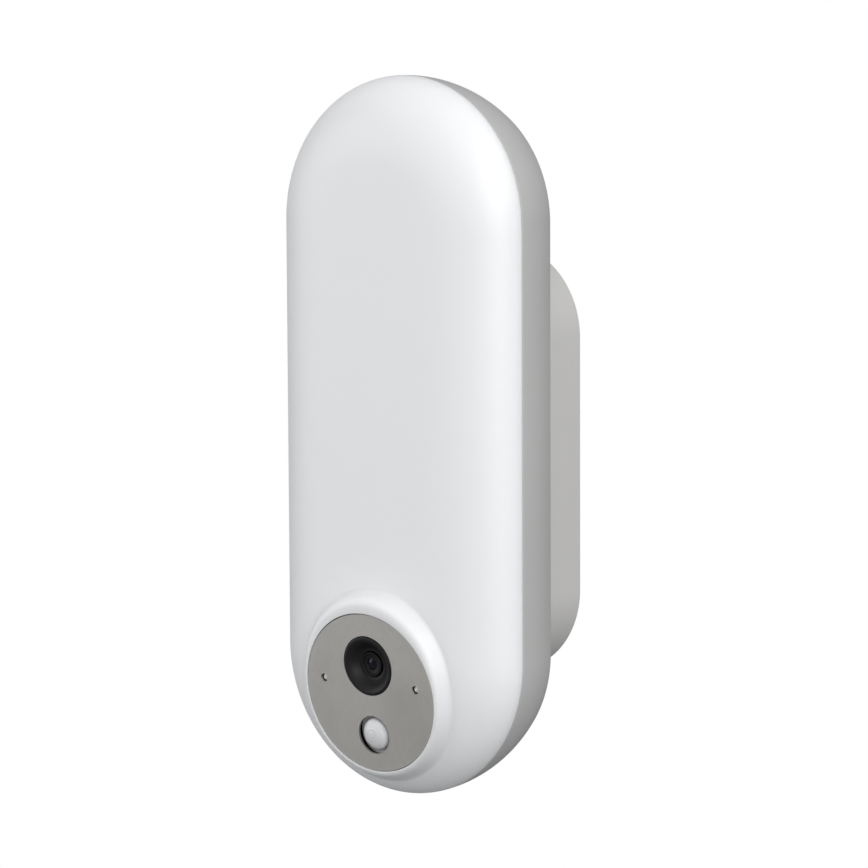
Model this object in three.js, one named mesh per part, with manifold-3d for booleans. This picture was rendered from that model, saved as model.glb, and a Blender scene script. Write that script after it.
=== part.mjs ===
// Wall-mounted floodlight with a built-in security camera.
// Millimetres. The origin is the middle of the wall face, +Z is up and -Y is out from the wall.
// Every "out" value is a distance out from the wall; every "back" value is a distance behind the
// camera's steel face, in the camera pod's own tilted group.
import * as THREE from 'three';
import { mergeVertices } from 'three/addons/utils/BufferGeometryUtils.js';
import Module from 'manifold-3d';

// Light body: a pill outline, straight in the middle and round at both ends.
const bodyRadius = 60;
const bodyHalfStraight = 88.8;
const bodyDepth = 30.5;
const bodyRise = 15.3;
const sideDrop = 8.6;
const housingWall = 2.4;
const housingBackWall = 2.5;
const backEdgeRound = 1.6;

// Opal front: its shoulder is a quarter ellipse.
const shoulderInset = 34.4;
const shoulderDepth = 22.4;
const diffuserWall = 2.4;
const spigotDepth = 4;
const spigotWall = 2;

// Wall box that holds the light off the wall.
const boxRadius = 37.6;
const boxHalfStraight = 53.4;
const boxDepth = 38.4;
const boxWall = 2.5;
const plateThickness = 1.5;
const sealWidth = 2.9;
const sealThickness = 2.4;
const cableRadius = 4.5;
const cableDrop = 62;

// Camera pod with its steel face.
const faceRadius = 33.4;
const faceThickness = 1;
const faceOut = 25.2;
const faceMargin = 12;
const faceTiltDegrees = 7.46;
const collarTopWidth = 2.5;
const collarSpread = 4.6;
const collarDepth = 8.2;
const cupDepth = 20.7;
const cupWall = 2;
const lensRise = 11.6;
const bezelRadius = 12.4;
const barrelRadius = 5.2;
const lensRadius = 4;
const pirInset = 15.1;
const pirHoleRadius = 8.1;
const pirLensRadius = 7.1;
const micInset = 9.1;
const micRise = 3.9;
const micHoleRadius = 1.75;

// Light engine and boards.
const spreaderThickness = 2;
const boardThickness = 1.6;
const ledBoardRadius = 46;
const ledSize = 3;
const ledHeight = 0.7;
const ledPitch = 22;
const ledColumns = [-24, 0, 24];
const speakerRadius = 18;
const cardWidth = 11;
const cardLength = 15;
const cardThickness = 1;
const doorWidth = 18;
const doorHeight = 11;
const doorThickness = 1.5;
const leverCount = 3;
const leverWidth = 7;

// Fasteners.
const screwRadius = 1.5;
const screwHeadRadius = 2.8;
const screwHeadHeight = 1.8;
const bossRadius = 3.4;

// Fits.
const gap = 0.3;
const round = 32;
const roundSmall = 16;
const roundScrew = 10;

// Places that follow from the sizes above.
const jointOut = boxDepth + bodyDepth;
const frontOut = jointOut + shoulderDepth;
const bodyTopEnd = bodyRise + bodyHalfStraight;
const bodyBottomEnd = bodyRise - bodyHalfStraight;
const housingBackRadius = bodyRadius - sideDrop;
const housingFloorOut = boxDepth + housingBackWall;
const boxTop = boxHalfStraight + boxRadius;
const boxBottom = -boxTop;
const boxInnerRadius = boxRadius - boxWall;
const boxFloorOut = boxDepth - gap - boxWall;
const podCentreZ = bodyBottomEnd - (bodyRadius - faceRadius - faceMargin);
const pirDrop = faceRadius - pirInset;
const micSpread = faceRadius - micInset;
const podTilt = THREE.MathUtils.degToRad(faceTiltDegrees);
const spreaderBackOut = jointOut - 6.9;
const spreaderFrontOut = spreaderBackOut + spreaderThickness;
const boardFrontOut = spreaderBackOut - 4;
const boardBackOut = boardFrontOut - boardThickness;
const screwPilotRadius = screwRadius + gap;
const spigotOuter = bodyRadius - housingWall - 1.6;
const spigotInner = spigotOuter - spigotWall;

const wasm = await Module();
wasm.setup();

// ---------------------------------------------------------------- solids

// One vertex at each corner, and no triangle that has lost its area.
function weld(geometry) {
  geometry.deleteAttribute('normal');
  geometry.deleteAttribute('uv');
  const merged = mergeVertices(geometry, 1e-4);
  const index = merged.index.array;
  const corners = [];
  for (let i = 0; i < index.length; i += 3) {
    const [a, b, c] = [index[i], index[i + 1], index[i + 2]];
    if (a !== b && b !== c && c !== a) corners.push(a, b, c);
  }
  merged.setIndex(corners);
  return merged;
}

function toSolid(geometry) {
  const mesh = new wasm.Mesh({
    numProp: 3,
    vertProperties: new Float32Array(geometry.attributes.position.array),
    triVerts: new Uint32Array(geometry.index.array),
  });
  return new wasm.Manifold(mesh);
}

function toGeometry(solid) {
  const mesh = solid.getMesh();
  const geometry = new THREE.BufferGeometry();
  geometry.setAttribute('position', new THREE.BufferAttribute(new Float32Array(mesh.vertProperties), 3));
  geometry.setIndex(new THREE.BufferAttribute(new Uint32Array(mesh.triVerts), 1));
  geometry.computeVertexNormals();
  return geometry;
}

function cut(base, ...tools) {
  return toGeometry(tools.reduce((solid, tool) => solid.subtract(toSolid(tool)), toSolid(base)));
}

function join(base, ...others) {
  return toGeometry(others.reduce((solid, other) => solid.add(toSolid(other)), toSolid(base)));
}

function overlap(base, other) {
  return toGeometry(toSolid(base).intersect(toSolid(other)));
}

// A profile of [radius, y] points turned about the Y axis. The polygon is drawn round the circle, so
// its flats lie at the stated radius. With a half straight it is cut through the middle and pulled
// apart along Z, which makes a pill outline of the same profile.
function turned(profile, segments = roundSmall, halfStraight = 0) {
  const halfStep = Math.PI / segments;
  const closed = profile[0][0] > 0;
  const path = closed ? [...profile, profile[0]] : profile;
  const points = path.map(([radius, y]) => new THREE.Vector2(radius / Math.cos(halfStep), y));
  const geometry = new THREE.LatheGeometry(points, segments, halfStep);
  const position = geometry.attributes.position;
  for (let i = 0; i <= segments; i += 1) {
    const side = Math.sign(Math.cos(halfStep + (2 * Math.PI * i) / segments));
    for (let j = 0; j < points.length; j += 1) {
      const at = i * points.length + j;
      position.setZ(at, position.getZ(at) + side * halfStraight);
    }
  }
  return faceOutwards(weld(geometry));
}

// Turns a closed geometry's faces outwards when its volume comes out negative.
function faceOutwards(geometry) {
  const { position } = geometry.attributes;
  const index = geometry.index.array;
  const [a, b, c] = [new THREE.Vector3(), new THREE.Vector3(), new THREE.Vector3()];
  let volume = 0;
  for (let i = 0; i < index.length; i += 3) {
    a.fromBufferAttribute(position, index[i]);
    b.fromBufferAttribute(position, index[i + 1]);
    c.fromBufferAttribute(position, index[i + 2]);
    volume += a.dot(b.cross(c));
  }
  if (volume < 0) {
    for (let i = 0; i < index.length; i += 3) {
      [index[i], index[i + 2]] = [index[i + 2], index[i]];
    }
  }
  return geometry;
}

// A pill-shaped slab between two distances out from the wall.
function pillSlab(radius, halfStraight, out0, out1, segments = round) {
  return turned([[0, -out0], [radius, -out0], [radius, -out1], [0, -out1]], segments, halfStraight);
}

// A pill-shaped ring between two radii and two distances out from the wall.
function pillRing(inner, outer, halfStraight, out0, out1) {
  return turned([[inner, -out0], [outer, -out0], [outer, -out1], [inner, -out1]], round, halfStraight);
}

// A round rod along Y between two y values.
function rod(radius, y0, y1, x = 0, z = 0, segments = roundSmall) {
  return turned([[0, y0], [radius, y0], [radius, y1], [0, y1]], segments).translate(x, 0, z);
}

// A round rod along X, and one along Z.
function crossRod(radius, x0, x1, y, z, segments = roundSmall) {
  return rod(radius, x0, x1, 0, 0, segments).rotateZ(-Math.PI / 2).translate(0, y, z);
}

function uprightRod(radius, z0, z1, x, y, segments = roundSmall) {
  return rod(radius, z0, z1, 0, 0, segments).rotateX(Math.PI / 2).translate(x, y, 0);
}

// A block between two corners.
function block([x0, y0, z0], [x1, y1, z1]) {
  const geometry = new THREE.BoxGeometry(Math.abs(x1 - x0), Math.abs(y1 - y0), Math.abs(z1 - z0));
  return weld(geometry).translate((x0 + x1) / 2, (y0 + y1) / 2, (z0 + z1) / 2);
}

// A pan-head screw along Y: its head lies between y = 0 and the head's height, and its shank runs
// from the head towards -Y.
function screw(length, radius = screwRadius, headRadius = screwHeadRadius, headHeight = screwHeadHeight) {
  return turned([
    [0, headHeight],
    [headRadius * 0.7, headHeight],
    [headRadius, headHeight * 0.55],
    [headRadius, 0],
    [radius, 0],
    [radius, -length],
    [0, -length],
  ], roundScrew);
}

// ---------------------------------------------------------------- finishes

const finishes = {
  opal: { color: 0xe4e6e9, roughness: 0.28, metalness: 0 },
  housing: { color: 0xb9b9b7, roughness: 0.5, metalness: 0.1 },
  steelFace: { color: 0x969590, roughness: 0.36, metalness: 1 },
  zincSteel: { color: 0xa8acae, roughness: 0.4, metalness: 1 },
  aluminium: { color: 0xc3c5c6, roughness: 0.38, metalness: 1 },
  black: { color: 0x17181a, roughness: 0.4, metalness: 0 },
  rubber: { color: 0x26272a, roughness: 0.8, metalness: 0 },
  greyRubber: { color: 0x77797b, roughness: 0.8, metalness: 0 },
  glass: { color: 0x2a3350, roughness: 0.05, metalness: 0 },
  cutGlass: { color: 0x5f9fc4, roughness: 0.05, metalness: 0 },
  pirWhite: { color: 0xe9eaea, roughness: 0.35, metalness: 0 },
  board: { color: 0x1f5a3a, roughness: 0.45, metalness: 0 },
  whiteBoard: { color: 0xf0efe8, roughness: 0.5, metalness: 0 },
  whiteSheet: { color: 0xf6f6f4, roughness: 0.6, metalness: 0 },
  whitePlastic: { color: 0xd9dadb, roughness: 0.45, metalness: 0 },
  orange: { color: 0xe07b1f, roughness: 0.45, metalness: 0 },
  copper: { color: 0xb5703f, roughness: 0.35, metalness: 1 },
};

const light = new THREE.Group();
light.name = 'floodlight_camera';

function add(name, geometry, finish, parent = light) {
  const mesh = new THREE.Mesh(geometry, new THREE.MeshStandardMaterial(finishes[finish]));
  mesh.name = name;
  parent.add(mesh);
  return mesh;
}

// ---------------------------------------------------------------- wall side

// Wall plate: pressed steel, screwed to the wall through two slots, with a hook tab at its top and a
// tapped tab at its bottom.
const plateRadius = boxInnerRadius - sealWidth - 2 * gap;
const plateEnd = boxHalfStraight + plateRadius;
const lockOut = 13;
const lockScrewRadius = 2;
const lockTabZ = -plateEnd + 5;
const grommetRadius = cableRadius + 4.5;
const slotSpacing = 40;
function wallSlot(z) {
  return block([-2.5, 1, z - 7], [2.5, -plateThickness - 1, z + 7]);
}
add('wall_plate', cut(
  join(
    pillSlab(plateRadius, boxHalfStraight, 0, plateThickness),
    block([-8, -0.5, plateEnd - 9], [8, -12, plateEnd - 7.5]),
    block([-8, -0.5, lockTabZ - 1], [8, -lockOut - 7, lockTabZ + 1]),
  ),
  wallSlot(slotSpacing),
  wallSlot(-slotSpacing),
  rod(grommetRadius + gap, 1, -plateThickness - 1, 0, -cableDrop),
  uprightRod(lockScrewRadius + gap, lockTabZ - 3, lockTabZ + 3, 0, -lockOut, roundScrew),
  rod(screwPilotRadius, 1, -plateThickness - 1, plateRadius * 0.6, -boxHalfStraight * 0.6, roundScrew),
), 'zincSteel');

const earthScrew = add('earth_screw', screw(plateThickness), 'zincSteel');
earthScrew.rotation.x = Math.PI;
earthScrew.position.set(plateRadius * 0.6, -plateThickness - gap, -boxHalfStraight * 0.6);

add('cable_grommet', turned([
  [cableRadius, -0.2],
  [grommetRadius, -0.2],
  [grommetRadius, -plateThickness - gap],
  [grommetRadius + 2.5, -plateThickness - gap],
  [grommetRadius + 2.5, -plateThickness - 2.3],
  [cableRadius, -plateThickness - 4.5],
]).translate(0, 0, -cableDrop), 'rubber');

add('wall_seal', pillRing(
  plateRadius + gap, boxInnerRadius - gap, boxHalfStraight, 0, sealThickness,
), 'rubber');

// Wall box: a deep pill-shaped moulding with a ledge that presses the seal to the wall.
const ledgeRadius = plateRadius + gap;
const wireHoleZ = -8;
const wireHoleRadius = 6;
const boxScrewX = boxInnerRadius - 6;
const boxScrewZ = 40;
const boxScrewSpots = [[-1, 1], [1, 1], [-1, -1], [1, -1]].map(([x, z]) => [x * boxScrewX, z * boxScrewZ]);
add('wall_box', cut(
  turned([
    [0, -boxDepth + gap],
    [boxRadius, -boxDepth + gap],
    [boxRadius, -gap],
    [boxInnerRadius, -gap],
    [boxInnerRadius, -sealThickness - gap],
    [ledgeRadius, -sealThickness - gap],
    [ledgeRadius, -sealThickness - 2.5],
    [boxInnerRadius, -sealThickness - 5],
    [boxInnerRadius, -boxFloorOut],
    [0, -boxFloorOut],
  ], round, boxHalfStraight),
  pillRing(boxRadius - 2.3, boxRadius - 0.9, boxHalfStraight, boxDepth - gap - 1.2, boxDepth),
  rod(wireHoleRadius, -boxFloorOut + 1, -boxDepth - 1, 0, wireHoleZ),
  uprightRod(lockScrewRadius + gap, boxBottom - 1, boxBottom + 6, 0, -lockOut, roundScrew),
  ...boxScrewSpots.map(([x, z]) => rod(screwPilotRadius, -boxFloorOut + 1, -boxDepth - 1, x, z, roundScrew)),
), 'housing');

add('box_seal', pillRing(
  boxRadius - 2, boxRadius - 1.2, boxHalfStraight, boxDepth - 1.2, boxDepth - gap,
), 'rubber');

const lockScrew = add('locking_screw', screw(lockTabZ - boxBottom + 3, lockScrewRadius, 3.4, 2), 'zincSteel');
lockScrew.rotation.x = -Math.PI / 2;
lockScrew.position.set(0, -lockOut, boxBottom - gap);

const boxScrewNames = ['upper_left', 'upper_right', 'lower_left', 'lower_right'];
boxScrewSpots.forEach(([x, z], i) => {
  add(`box_screw_${boxScrewNames[i]}`, screw(8), 'zincSteel').position.set(x, -boxFloorOut + gap, z);
});

// Power supply and terminal block on the box floor.
const driverHalfWidth = boxScrewX - screwHeadRadius - 4;
const driverDepth = 21;
const driverBottom = wireHoleZ + 12;
const driverTop = driverBottom + 64;
const driverBackOut = boxFloorOut - gap - driverDepth;
add('led_driver', join(
  block([-driverHalfWidth, -driverBackOut, driverBottom], [driverHalfWidth, -boxFloorOut + gap, driverTop]),
  block([-driverHalfWidth + 3, -driverBackOut + 1, driverBottom + 3],
    [driverHalfWidth - 3, -driverBackOut, driverTop - 3]),
), 'whitePlastic');

// Lever terminals: each lever turns on two trunnions held between the block's cheeks.
const cheek = 1.8;
const bayWidth = leverWidth + 2 * gap;
const terminalHalfWidth = (leverCount * bayWidth + (leverCount + 1) * cheek) / 2;
const terminalTop = wireHoleZ - 10;
const terminalHeight = 19;
const terminalBottom = terminalTop - terminalHeight;
const terminalDepth = 13;
const terminalBackOut = boxFloorOut - gap - terminalDepth;
const leverPivotOut = terminalBackOut + 1.6;
const leverPivotZ = terminalTop - 2.6;
const leverLength = 13;
const leverThickness = 1.6;
function bayCentre(i) {
  return (i - (leverCount - 1) / 2) * (bayWidth + cheek);
}
const bays = Array.from({ length: leverCount }, (_, i) => bayCentre(i));
add('terminal_block', cut(
  block([-terminalHalfWidth, -terminalBackOut, terminalBottom],
    [terminalHalfWidth, -boxFloorOut + gap, terminalTop]),
  ...bays.map((x) => block([x - bayWidth / 2, -terminalBackOut + 1, leverPivotZ - leverLength - 2],
    [x + bayWidth / 2, -leverPivotOut - 1.9, terminalTop + 1])),
  ...bays.map((x) => crossRod(0.8 + gap, x - bayWidth / 2 - 1.2, x + bayWidth / 2 + 1.2,
    -leverPivotOut, leverPivotZ, roundScrew)),
  ...bays.map((x) => uprightRod(1.7, terminalBottom - 1, terminalBottom + 8,
    x, -boxFloorOut + 4.5, roundScrew)),
), 'whitePlastic');
['live', 'neutral', 'earth'].forEach((wire, i) => {
  const x = bayCentre(i);
  add(`lever_${wire}`, join(
    block([x - leverWidth / 2, -leverPivotOut + 0.9, leverPivotZ - leverLength],
      [x + leverWidth / 2, -leverPivotOut - leverThickness + 0.9, leverPivotZ]),
    crossRod(1.4, x - leverWidth / 2, x + leverWidth / 2, -leverPivotOut, leverPivotZ, roundScrew),
    crossRod(0.8, x - leverWidth / 2 - 0.9, x + leverWidth / 2 + 0.9,
      -leverPivotOut, leverPivotZ, roundScrew),
  ), 'orange');
});

// ---------------------------------------------------------------- light body

// Housing: its side swells from the back edge to the joint as a parabola.
function housingRadius(out) {
  const back = (jointOut - out) / bodyDepth;
  return bodyRadius - sideDrop * back * back;
}
const sideSteps = 5;
const outerSide = Array.from({ length: sideSteps + 1 }, (_, i) => {
  const out = boxDepth + backEdgeRound + ((bodyDepth - backEdgeRound) * i) / sideSteps;
  return [housingRadius(out), -out];
});
const innerSide = outerSide.slice(1).reverse().map(([radius, y]) => [radius - housingWall, y]);

const housingScrewRing = housingBackRadius - 9.5;
function onEnd(endZ, upward, degrees) {
  const angle = THREE.MathUtils.degToRad(degrees);
  return [housingScrewRing * Math.sin(angle), endZ + upward * housingScrewRing * Math.cos(angle)];
}
const housingScrewSpots = [
  onEnd(bodyTopEnd, 1, -42),
  onEnd(bodyTopEnd, 1, 42),
  onEnd(bodyBottomEnd, -1, -58),
  onEnd(bodyBottomEnd, -1, 58),
];

// Card door, its knuckles and the reset button sit on the back, below the wall box.
const doorX = -12;
const doorTop = boxBottom - 4.5;
const doorBottom = doorTop - doorHeight;
const doorMiddle = (doorTop + doorBottom) / 2;
const pinRadius = 0.7;
const pinOut = boxDepth - 1.7;
const pinZ = doorBottom - 1.8;
const knuckleRadius = 1.7;
const barrelHalf = 4;
const knuckleWidth = 3;
const buttonX = 10;
const buttonRadius = 2.4;
const speakerZ = boxTop + speakerRadius + 9;
const speakerSlots = [-10, -5, 0, 5, 10];
function knuckle(side) {
  const x0 = doorX + side * (barrelHalf + gap);
  const x1 = doorX + side * (barrelHalf + gap + knuckleWidth);
  return join(
    crossRod(knuckleRadius, Math.min(x0, x1), Math.max(x0, x1), -pinOut, pinZ, roundScrew),
    block([x0, -pinOut, pinZ - knuckleRadius], [x1, -boxDepth - 0.5, pinZ + knuckleRadius - 0.4]),
  );
}
add('body_housing', cut(
  join(
    turned([
      [0, -boxDepth],
      [housingRadius(boxDepth) - backEdgeRound, -boxDepth],
      ...outerSide,
      [bodyRadius - housingWall, -jointOut],
      ...innerSide.slice(1),
      [housingRadius(housingFloorOut) - housingWall - backEdgeRound, -housingFloorOut],
      [0, -housingFloorOut],
    ], round, bodyHalfStraight).translate(0, 0, bodyRise),
    knuckle(-1),
    knuckle(1),
    ...boxScrewSpots.map(([x, z]) => rod(bossRadius, -boxDepth - 1, -housingFloorOut - 7, x, z, 12)),
  ),
  ...boxScrewSpots.map(([x, z]) => rod(screwPilotRadius, -boxDepth + 1, -housingFloorOut - 8,
    x, z, roundScrew)),
  ...housingScrewSpots.map(([x, z]) => rod(screwPilotRadius, -boxDepth + 1, -housingFloorOut - 1,
    x, z, roundScrew)),
  rod(wireHoleRadius, -boxDepth + 1, -housingFloorOut - 1, 0, wireHoleZ),
  block([doorX - doorWidth / 2, -boxDepth + 1, doorBottom],
    [doorX + doorWidth / 2, -boxDepth - doorThickness - gap, doorTop]),
  block([doorX - doorWidth / 2 + 2, -boxDepth, doorBottom + 2],
    [doorX + doorWidth / 2 - 2, -housingFloorOut - 1, doorTop - 2]),
  crossRod(pinRadius + gap, doorX - 9, doorX + 9, -pinOut, pinZ, roundScrew),
  rod(buttonRadius + gap, -boxDepth + 1, -housingFloorOut - 1, buttonX, doorMiddle),
  ...speakerSlots.map((x) => {
    const half = Math.sqrt(13 ** 2 - x ** 2);
    return block([x - 1, -boxDepth + 1, speakerZ - half], [x + 1, -housingFloorOut - 1, speakerZ + half]);
  }),
), 'housing');

const housingScrewNames = ['top_left', 'top_right', 'bottom_left', 'bottom_right'];
housingScrewSpots.forEach(([x, z], i) => {
  add(`housing_screw_${housingScrewNames[i]}`, screw(9), 'zincSteel').position.set(x, -boxDepth + gap, z);
});

add('sd_door', cut(
  join(
    block([doorX - doorWidth / 2 + gap, -boxDepth, doorBottom + gap],
      [doorX + doorWidth / 2 - gap, -boxDepth - doorThickness, doorTop - gap]),
    block([doorX - barrelHalf, -pinOut, doorBottom + 0.8],
      [doorX + barrelHalf, -boxDepth - 0.5, doorBottom + 4]),
    block([doorX - barrelHalf, -pinOut, pinZ], [doorX + barrelHalf, -pinOut - 1.3, doorBottom + 4]),
    crossRod(1.35, doorX - barrelHalf, doorX + barrelHalf, -pinOut, pinZ, 12),
  ),
  crossRod(pinRadius + gap, doorX - barrelHalf - 1, doorX + barrelHalf + 1, -pinOut, pinZ, roundScrew),
), 'greyRubber');
const pinHalf = barrelHalf + gap + knuckleWidth;
add('sd_door_pin', crossRod(
  pinRadius, doorX - pinHalf, doorX + pinHalf, -pinOut, pinZ, roundScrew,
), 'zincSteel');

// Card socket on its own small board, square to the housing's back.
const cardBackOut = boxDepth + doorThickness + 0.6;
const cardFrontOut = cardBackOut + cardLength;
const cardTravel = 0.8;
const socketHalf = cardWidth / 2 + 1.6;
const sdBoardZ = doorMiddle - 2.8;
const sdBoardBackOut = housingFloorOut + 2;
add('sd_board', block([doorX - 10, -sdBoardBackOut, sdBoardZ - 1.2],
  [buttonX + 5, -cardFrontOut - cardTravel + 1, sdBoardZ]), 'board');
add('sd_slot', cut(
  block([doorX - socketHalf, -sdBoardBackOut, sdBoardZ + gap],
    [doorX + socketHalf, -cardFrontOut - cardTravel - 0.5, doorMiddle + 1.4]),
  block([doorX - cardWidth / 2 - gap, -sdBoardBackOut + 1, doorMiddle - cardThickness / 2 - gap],
    [doorX + cardWidth / 2 + gap, -cardFrontOut - cardTravel - 0.1, doorMiddle + cardThickness / 2 + gap]),
), 'zincSteel');
add('sd_card', block([doorX - cardWidth / 2, -cardBackOut, doorMiddle - cardThickness / 2],
  [doorX + cardWidth / 2, -cardFrontOut, doorMiddle + cardThickness / 2]), 'black');

const buttonTravel = 0.8;
add('reset_button', turned([
  [0, -boxDepth - 0.2],
  [buttonRadius, -boxDepth - 0.2],
  [buttonRadius, -housingFloorOut - gap],
  [buttonRadius + 1, -housingFloorOut - gap],
  [buttonRadius + 1, -housingFloorOut - gap - 0.8],
  [1.4, -housingFloorOut - gap - 0.8],
  [1.4, -housingFloorOut - 2.3],
  [0, -housingFloorOut - 2.3],
]).translate(buttonX, 0, doorMiddle), 'greyRubber');
const switchBackOut = housingFloorOut + 2.3 + buttonTravel + gap;
add('reset_switch', block([buttonX - 3, -switchBackOut, sdBoardZ + gap],
  [buttonX + 3, -switchBackOut - 4, doorMiddle + 2]), 'black');

// Speaker behind its slots in the housing's back.
add('speaker_gasket', turned([
  [speakerRadius - 3.5, -housingFloorOut - gap],
  [speakerRadius, -housingFloorOut - gap],
  [speakerRadius, -housingFloorOut - 1.3],
  [speakerRadius - 3.5, -housingFloorOut - 1.3],
]).translate(0, 0, speakerZ), 'rubber');
const speakerOut = housingFloorOut + 1.3 + gap;
add('speaker', turned([
  [0, -speakerOut - 2.2],
  [speakerRadius * 0.35, -speakerOut - 1.2],
  [speakerRadius * 0.75, -speakerOut - 2.6],
  [speakerRadius * 0.85, -speakerOut],
  [speakerRadius, -speakerOut],
  [speakerRadius, -speakerOut - 1.4],
  [speakerRadius * 0.75, -speakerOut - 4.4],
  [speakerRadius * 0.5, -speakerOut - 4.6],
  [speakerRadius * 0.5, -speakerOut - 8.6],
  [0, -speakerOut - 8.6],
]).translate(0, 0, speakerZ), 'black');

// ---------------------------------------------------------------- light engine

// Heat spreader: an aluminium plate with posts to the housing's back and standoffs to the main board.
const spreaderRadius = bodyRadius - housingWall - 2;
const mainBoardHalf = 26;
const mainBoardTop = -30;
const mainBoardBottom = doorTop + 4;
const standoffSpots = [[-1, 1], [1, 1], [-1, -1], [1, -1]].map(([x, z]) => [
  x * (mainBoardHalf - 4),
  (mainBoardTop + mainBoardBottom) / 2 + z * ((mainBoardTop - mainBoardBottom) / 2 - 4),
]);
const podScrewX = 14;
const podScrewSpots = [-podScrewX, podScrewX].map((x) => [x, podCentreZ]);
const leadHoleZ = podCentreZ - 8;
const leadHoleRadius = 7;
add('heat_spreader', cut(
  join(
    pillSlab(spreaderRadius, bodyHalfStraight, spreaderBackOut, spreaderFrontOut).translate(0, 0, bodyRise),
    ...housingScrewSpots.map(([x, z]) => rod(bossRadius, -housingFloorOut - gap, -spreaderBackOut - 1,
      x, z, 12)),
    ...standoffSpots.map(([x, z]) => rod(2.2, -boardFrontOut - gap, -spreaderBackOut - 1, x, z, roundScrew)),
  ),
  ...housingScrewSpots.map(([x, z]) => rod(screwPilotRadius, -boxDepth, -boxDepth - 12, x, z, roundScrew)),
  ...podScrewSpots.map(([x, z]) => rod(screwPilotRadius, -boxDepth, -jointOut, x, z, roundScrew)),
  rod(leadHoleRadius, -boxDepth, -jointOut, 0, leadHoleZ),
), 'aluminium');

const ledTopEnd = bodyTopEnd;
const cupTop = podCentreZ + faceRadius;
const ledBottomEnd = cupTop + 8 + ledBoardRadius;
const ledHalfStraight = (ledTopEnd - ledBottomEnd) / 2;
const ledMiddle = (ledTopEnd + ledBottomEnd) / 2;
const ledBoardBackOut = spreaderFrontOut + gap;
const ledBoardFrontOut = ledBoardBackOut + boardThickness;
const ledRows = Math.floor((2 * ledHalfStraight + ledBoardRadius) / ledPitch) + 1;
const ledSpots = [];
for (let row = 0; row < ledRows; row += 1) {
  const z = ledMiddle + (row - (ledRows - 1) / 2) * ledPitch;
  ledColumns.forEach((x) => ledSpots.push([x, z]));
}
function square(half, out0, out1, [x, z]) {
  return block([x - half, -out0, z - half], [x + half, -out1, z + half]);
}
add('led_board', join(
  pillSlab(ledBoardRadius, ledHalfStraight, ledBoardBackOut, ledBoardFrontOut).translate(0, 0, ledMiddle),
  ...ledSpots.map((spot) => square(ledSize / 2, ledBoardFrontOut - 0.5, ledBoardFrontOut + ledHeight, spot)),
), 'whiteBoard');

const sheetOut = ledBoardFrontOut + gap;
const sheetThickness = 0.5;
add('reflector_sheet', cut(
  pillSlab(spigotInner - gap, bodyHalfStraight, sheetOut, sheetOut + sheetThickness)
    .translate(0, 0, bodyRise),
  ...ledSpots.map((spot) => square(ledSize / 2 + 0.5, sheetOut - 1, sheetOut + 1, spot)),
  rod(faceRadius - 2, -sheetOut + 1, -sheetOut - 1, 0, podCentreZ, round),
), 'whiteSheet');

// Main board with its tall parts, its radio module and the aerial on the housing's back.
add('main_board', join(
  block([-mainBoardHalf, -boardBackOut, mainBoardBottom], [mainBoardHalf, -boardFrontOut, mainBoardTop]),
  block([-8, -boardBackOut + 1.6, mainBoardTop - 34], [8, -boardBackOut - 0.5, mainBoardTop - 18]),
  block([14, -boardBackOut + 2.6, mainBoardTop - 20], [22, -boardBackOut - 0.5, mainBoardTop - 12]),
  rod(3, -boardBackOut + 5.5, -boardBackOut - 0.5, 17, mainBoardTop - 32, 12),
  rod(3, -boardBackOut + 5.5, -boardBackOut - 0.5, 17, mainBoardTop - 42, 12),
), 'board');
add('wifi_module', block([-22, -boardBackOut + gap, mainBoardTop - 46],
  [-11, -boardBackOut + gap + 2.4, mainBoardTop - 28]), 'zincSteel');
const antennaTop = boxScrewZ - bossRadius - 1.5;
const antennaLength = 42;
add('wifi_antenna', block([-42, -housingFloorOut - gap, antennaTop - antennaLength],
  [-34, -housingFloorOut - gap - 0.6, antennaTop]), 'copper');

// A lead follows a smooth curve through its points.
function lead(points, section, steps) {
  const curve = new THREE.CatmullRomCurve3(points.map((point) => new THREE.Vector3(...point)));
  return faceOutwards(weld(new THREE.ExtrudeGeometry(section, { steps, extrudePath: curve })));
}
function roundSection(radius, sides) {
  const corners = Array.from({ length: sides }, (_, i) => {
    const angle = (2 * Math.PI * i) / sides;
    return new THREE.Vector2(radius * Math.cos(angle), radius * Math.sin(angle));
  });
  return new THREE.Shape(corners);
}
const supplyRadius = 1.6;
add('supply_lead', lead([
  [0, -driverBackOut - 10, driverBottom - gap],
  [0, -driverBackOut - 11, driverBottom - 5],
  [0, -boxFloorOut + 3, wireHoleZ + 2],
  [0, -boxDepth - 2, wireHoleZ],
  [0, -housingFloorOut - 5, wireHoleZ - 6],
  [0, -boardBackOut + 7, mainBoardTop + 4],
  [0, -boardBackOut + 6.5, mainBoardTop - 2],
  [0, -boardBackOut + 4, mainBoardTop - 5.5],
  [0, -boardBackOut + 0.8, mainBoardTop - 6],
], roundSection(supplyRadius, 8), 22), 'black');

// ---------------------------------------------------------------- opal front

// A quarter ellipse from the rim to the flat of the front.
function shoulder(inset, depth, shrink) {
  const steps = 8;
  return Array.from({ length: steps + 1 }, (_, i) => {
    const angle = (Math.PI / 2) * (i / steps);
    const radius = bodyRadius - shoulderInset + (inset - shrink) * Math.cos(angle);
    return [radius, -jointOut - gap - (depth - gap - shrink) * Math.sin(angle)];
  });
}
const outerShoulder = shoulder(shoulderInset, shoulderDepth, 0);
const innerShoulder = shoulder(shoulderInset, shoulderDepth, diffuserWall);
const sealDepth = 3;
const sealOuter = housingRadius(jointOut - sealDepth) - housingWall - gap;

const pod = new THREE.Group();
pod.name = 'camera_pod';
pod.position.set(0, -jointOut - faceOut, podCentreZ);
pod.rotation.x = podTilt;
light.add(pod);
pod.updateMatrixWorld(true);
const toPod = pod.matrixWorld.clone().invert();
const fromPod = pod.matrixWorld.clone();

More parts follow.
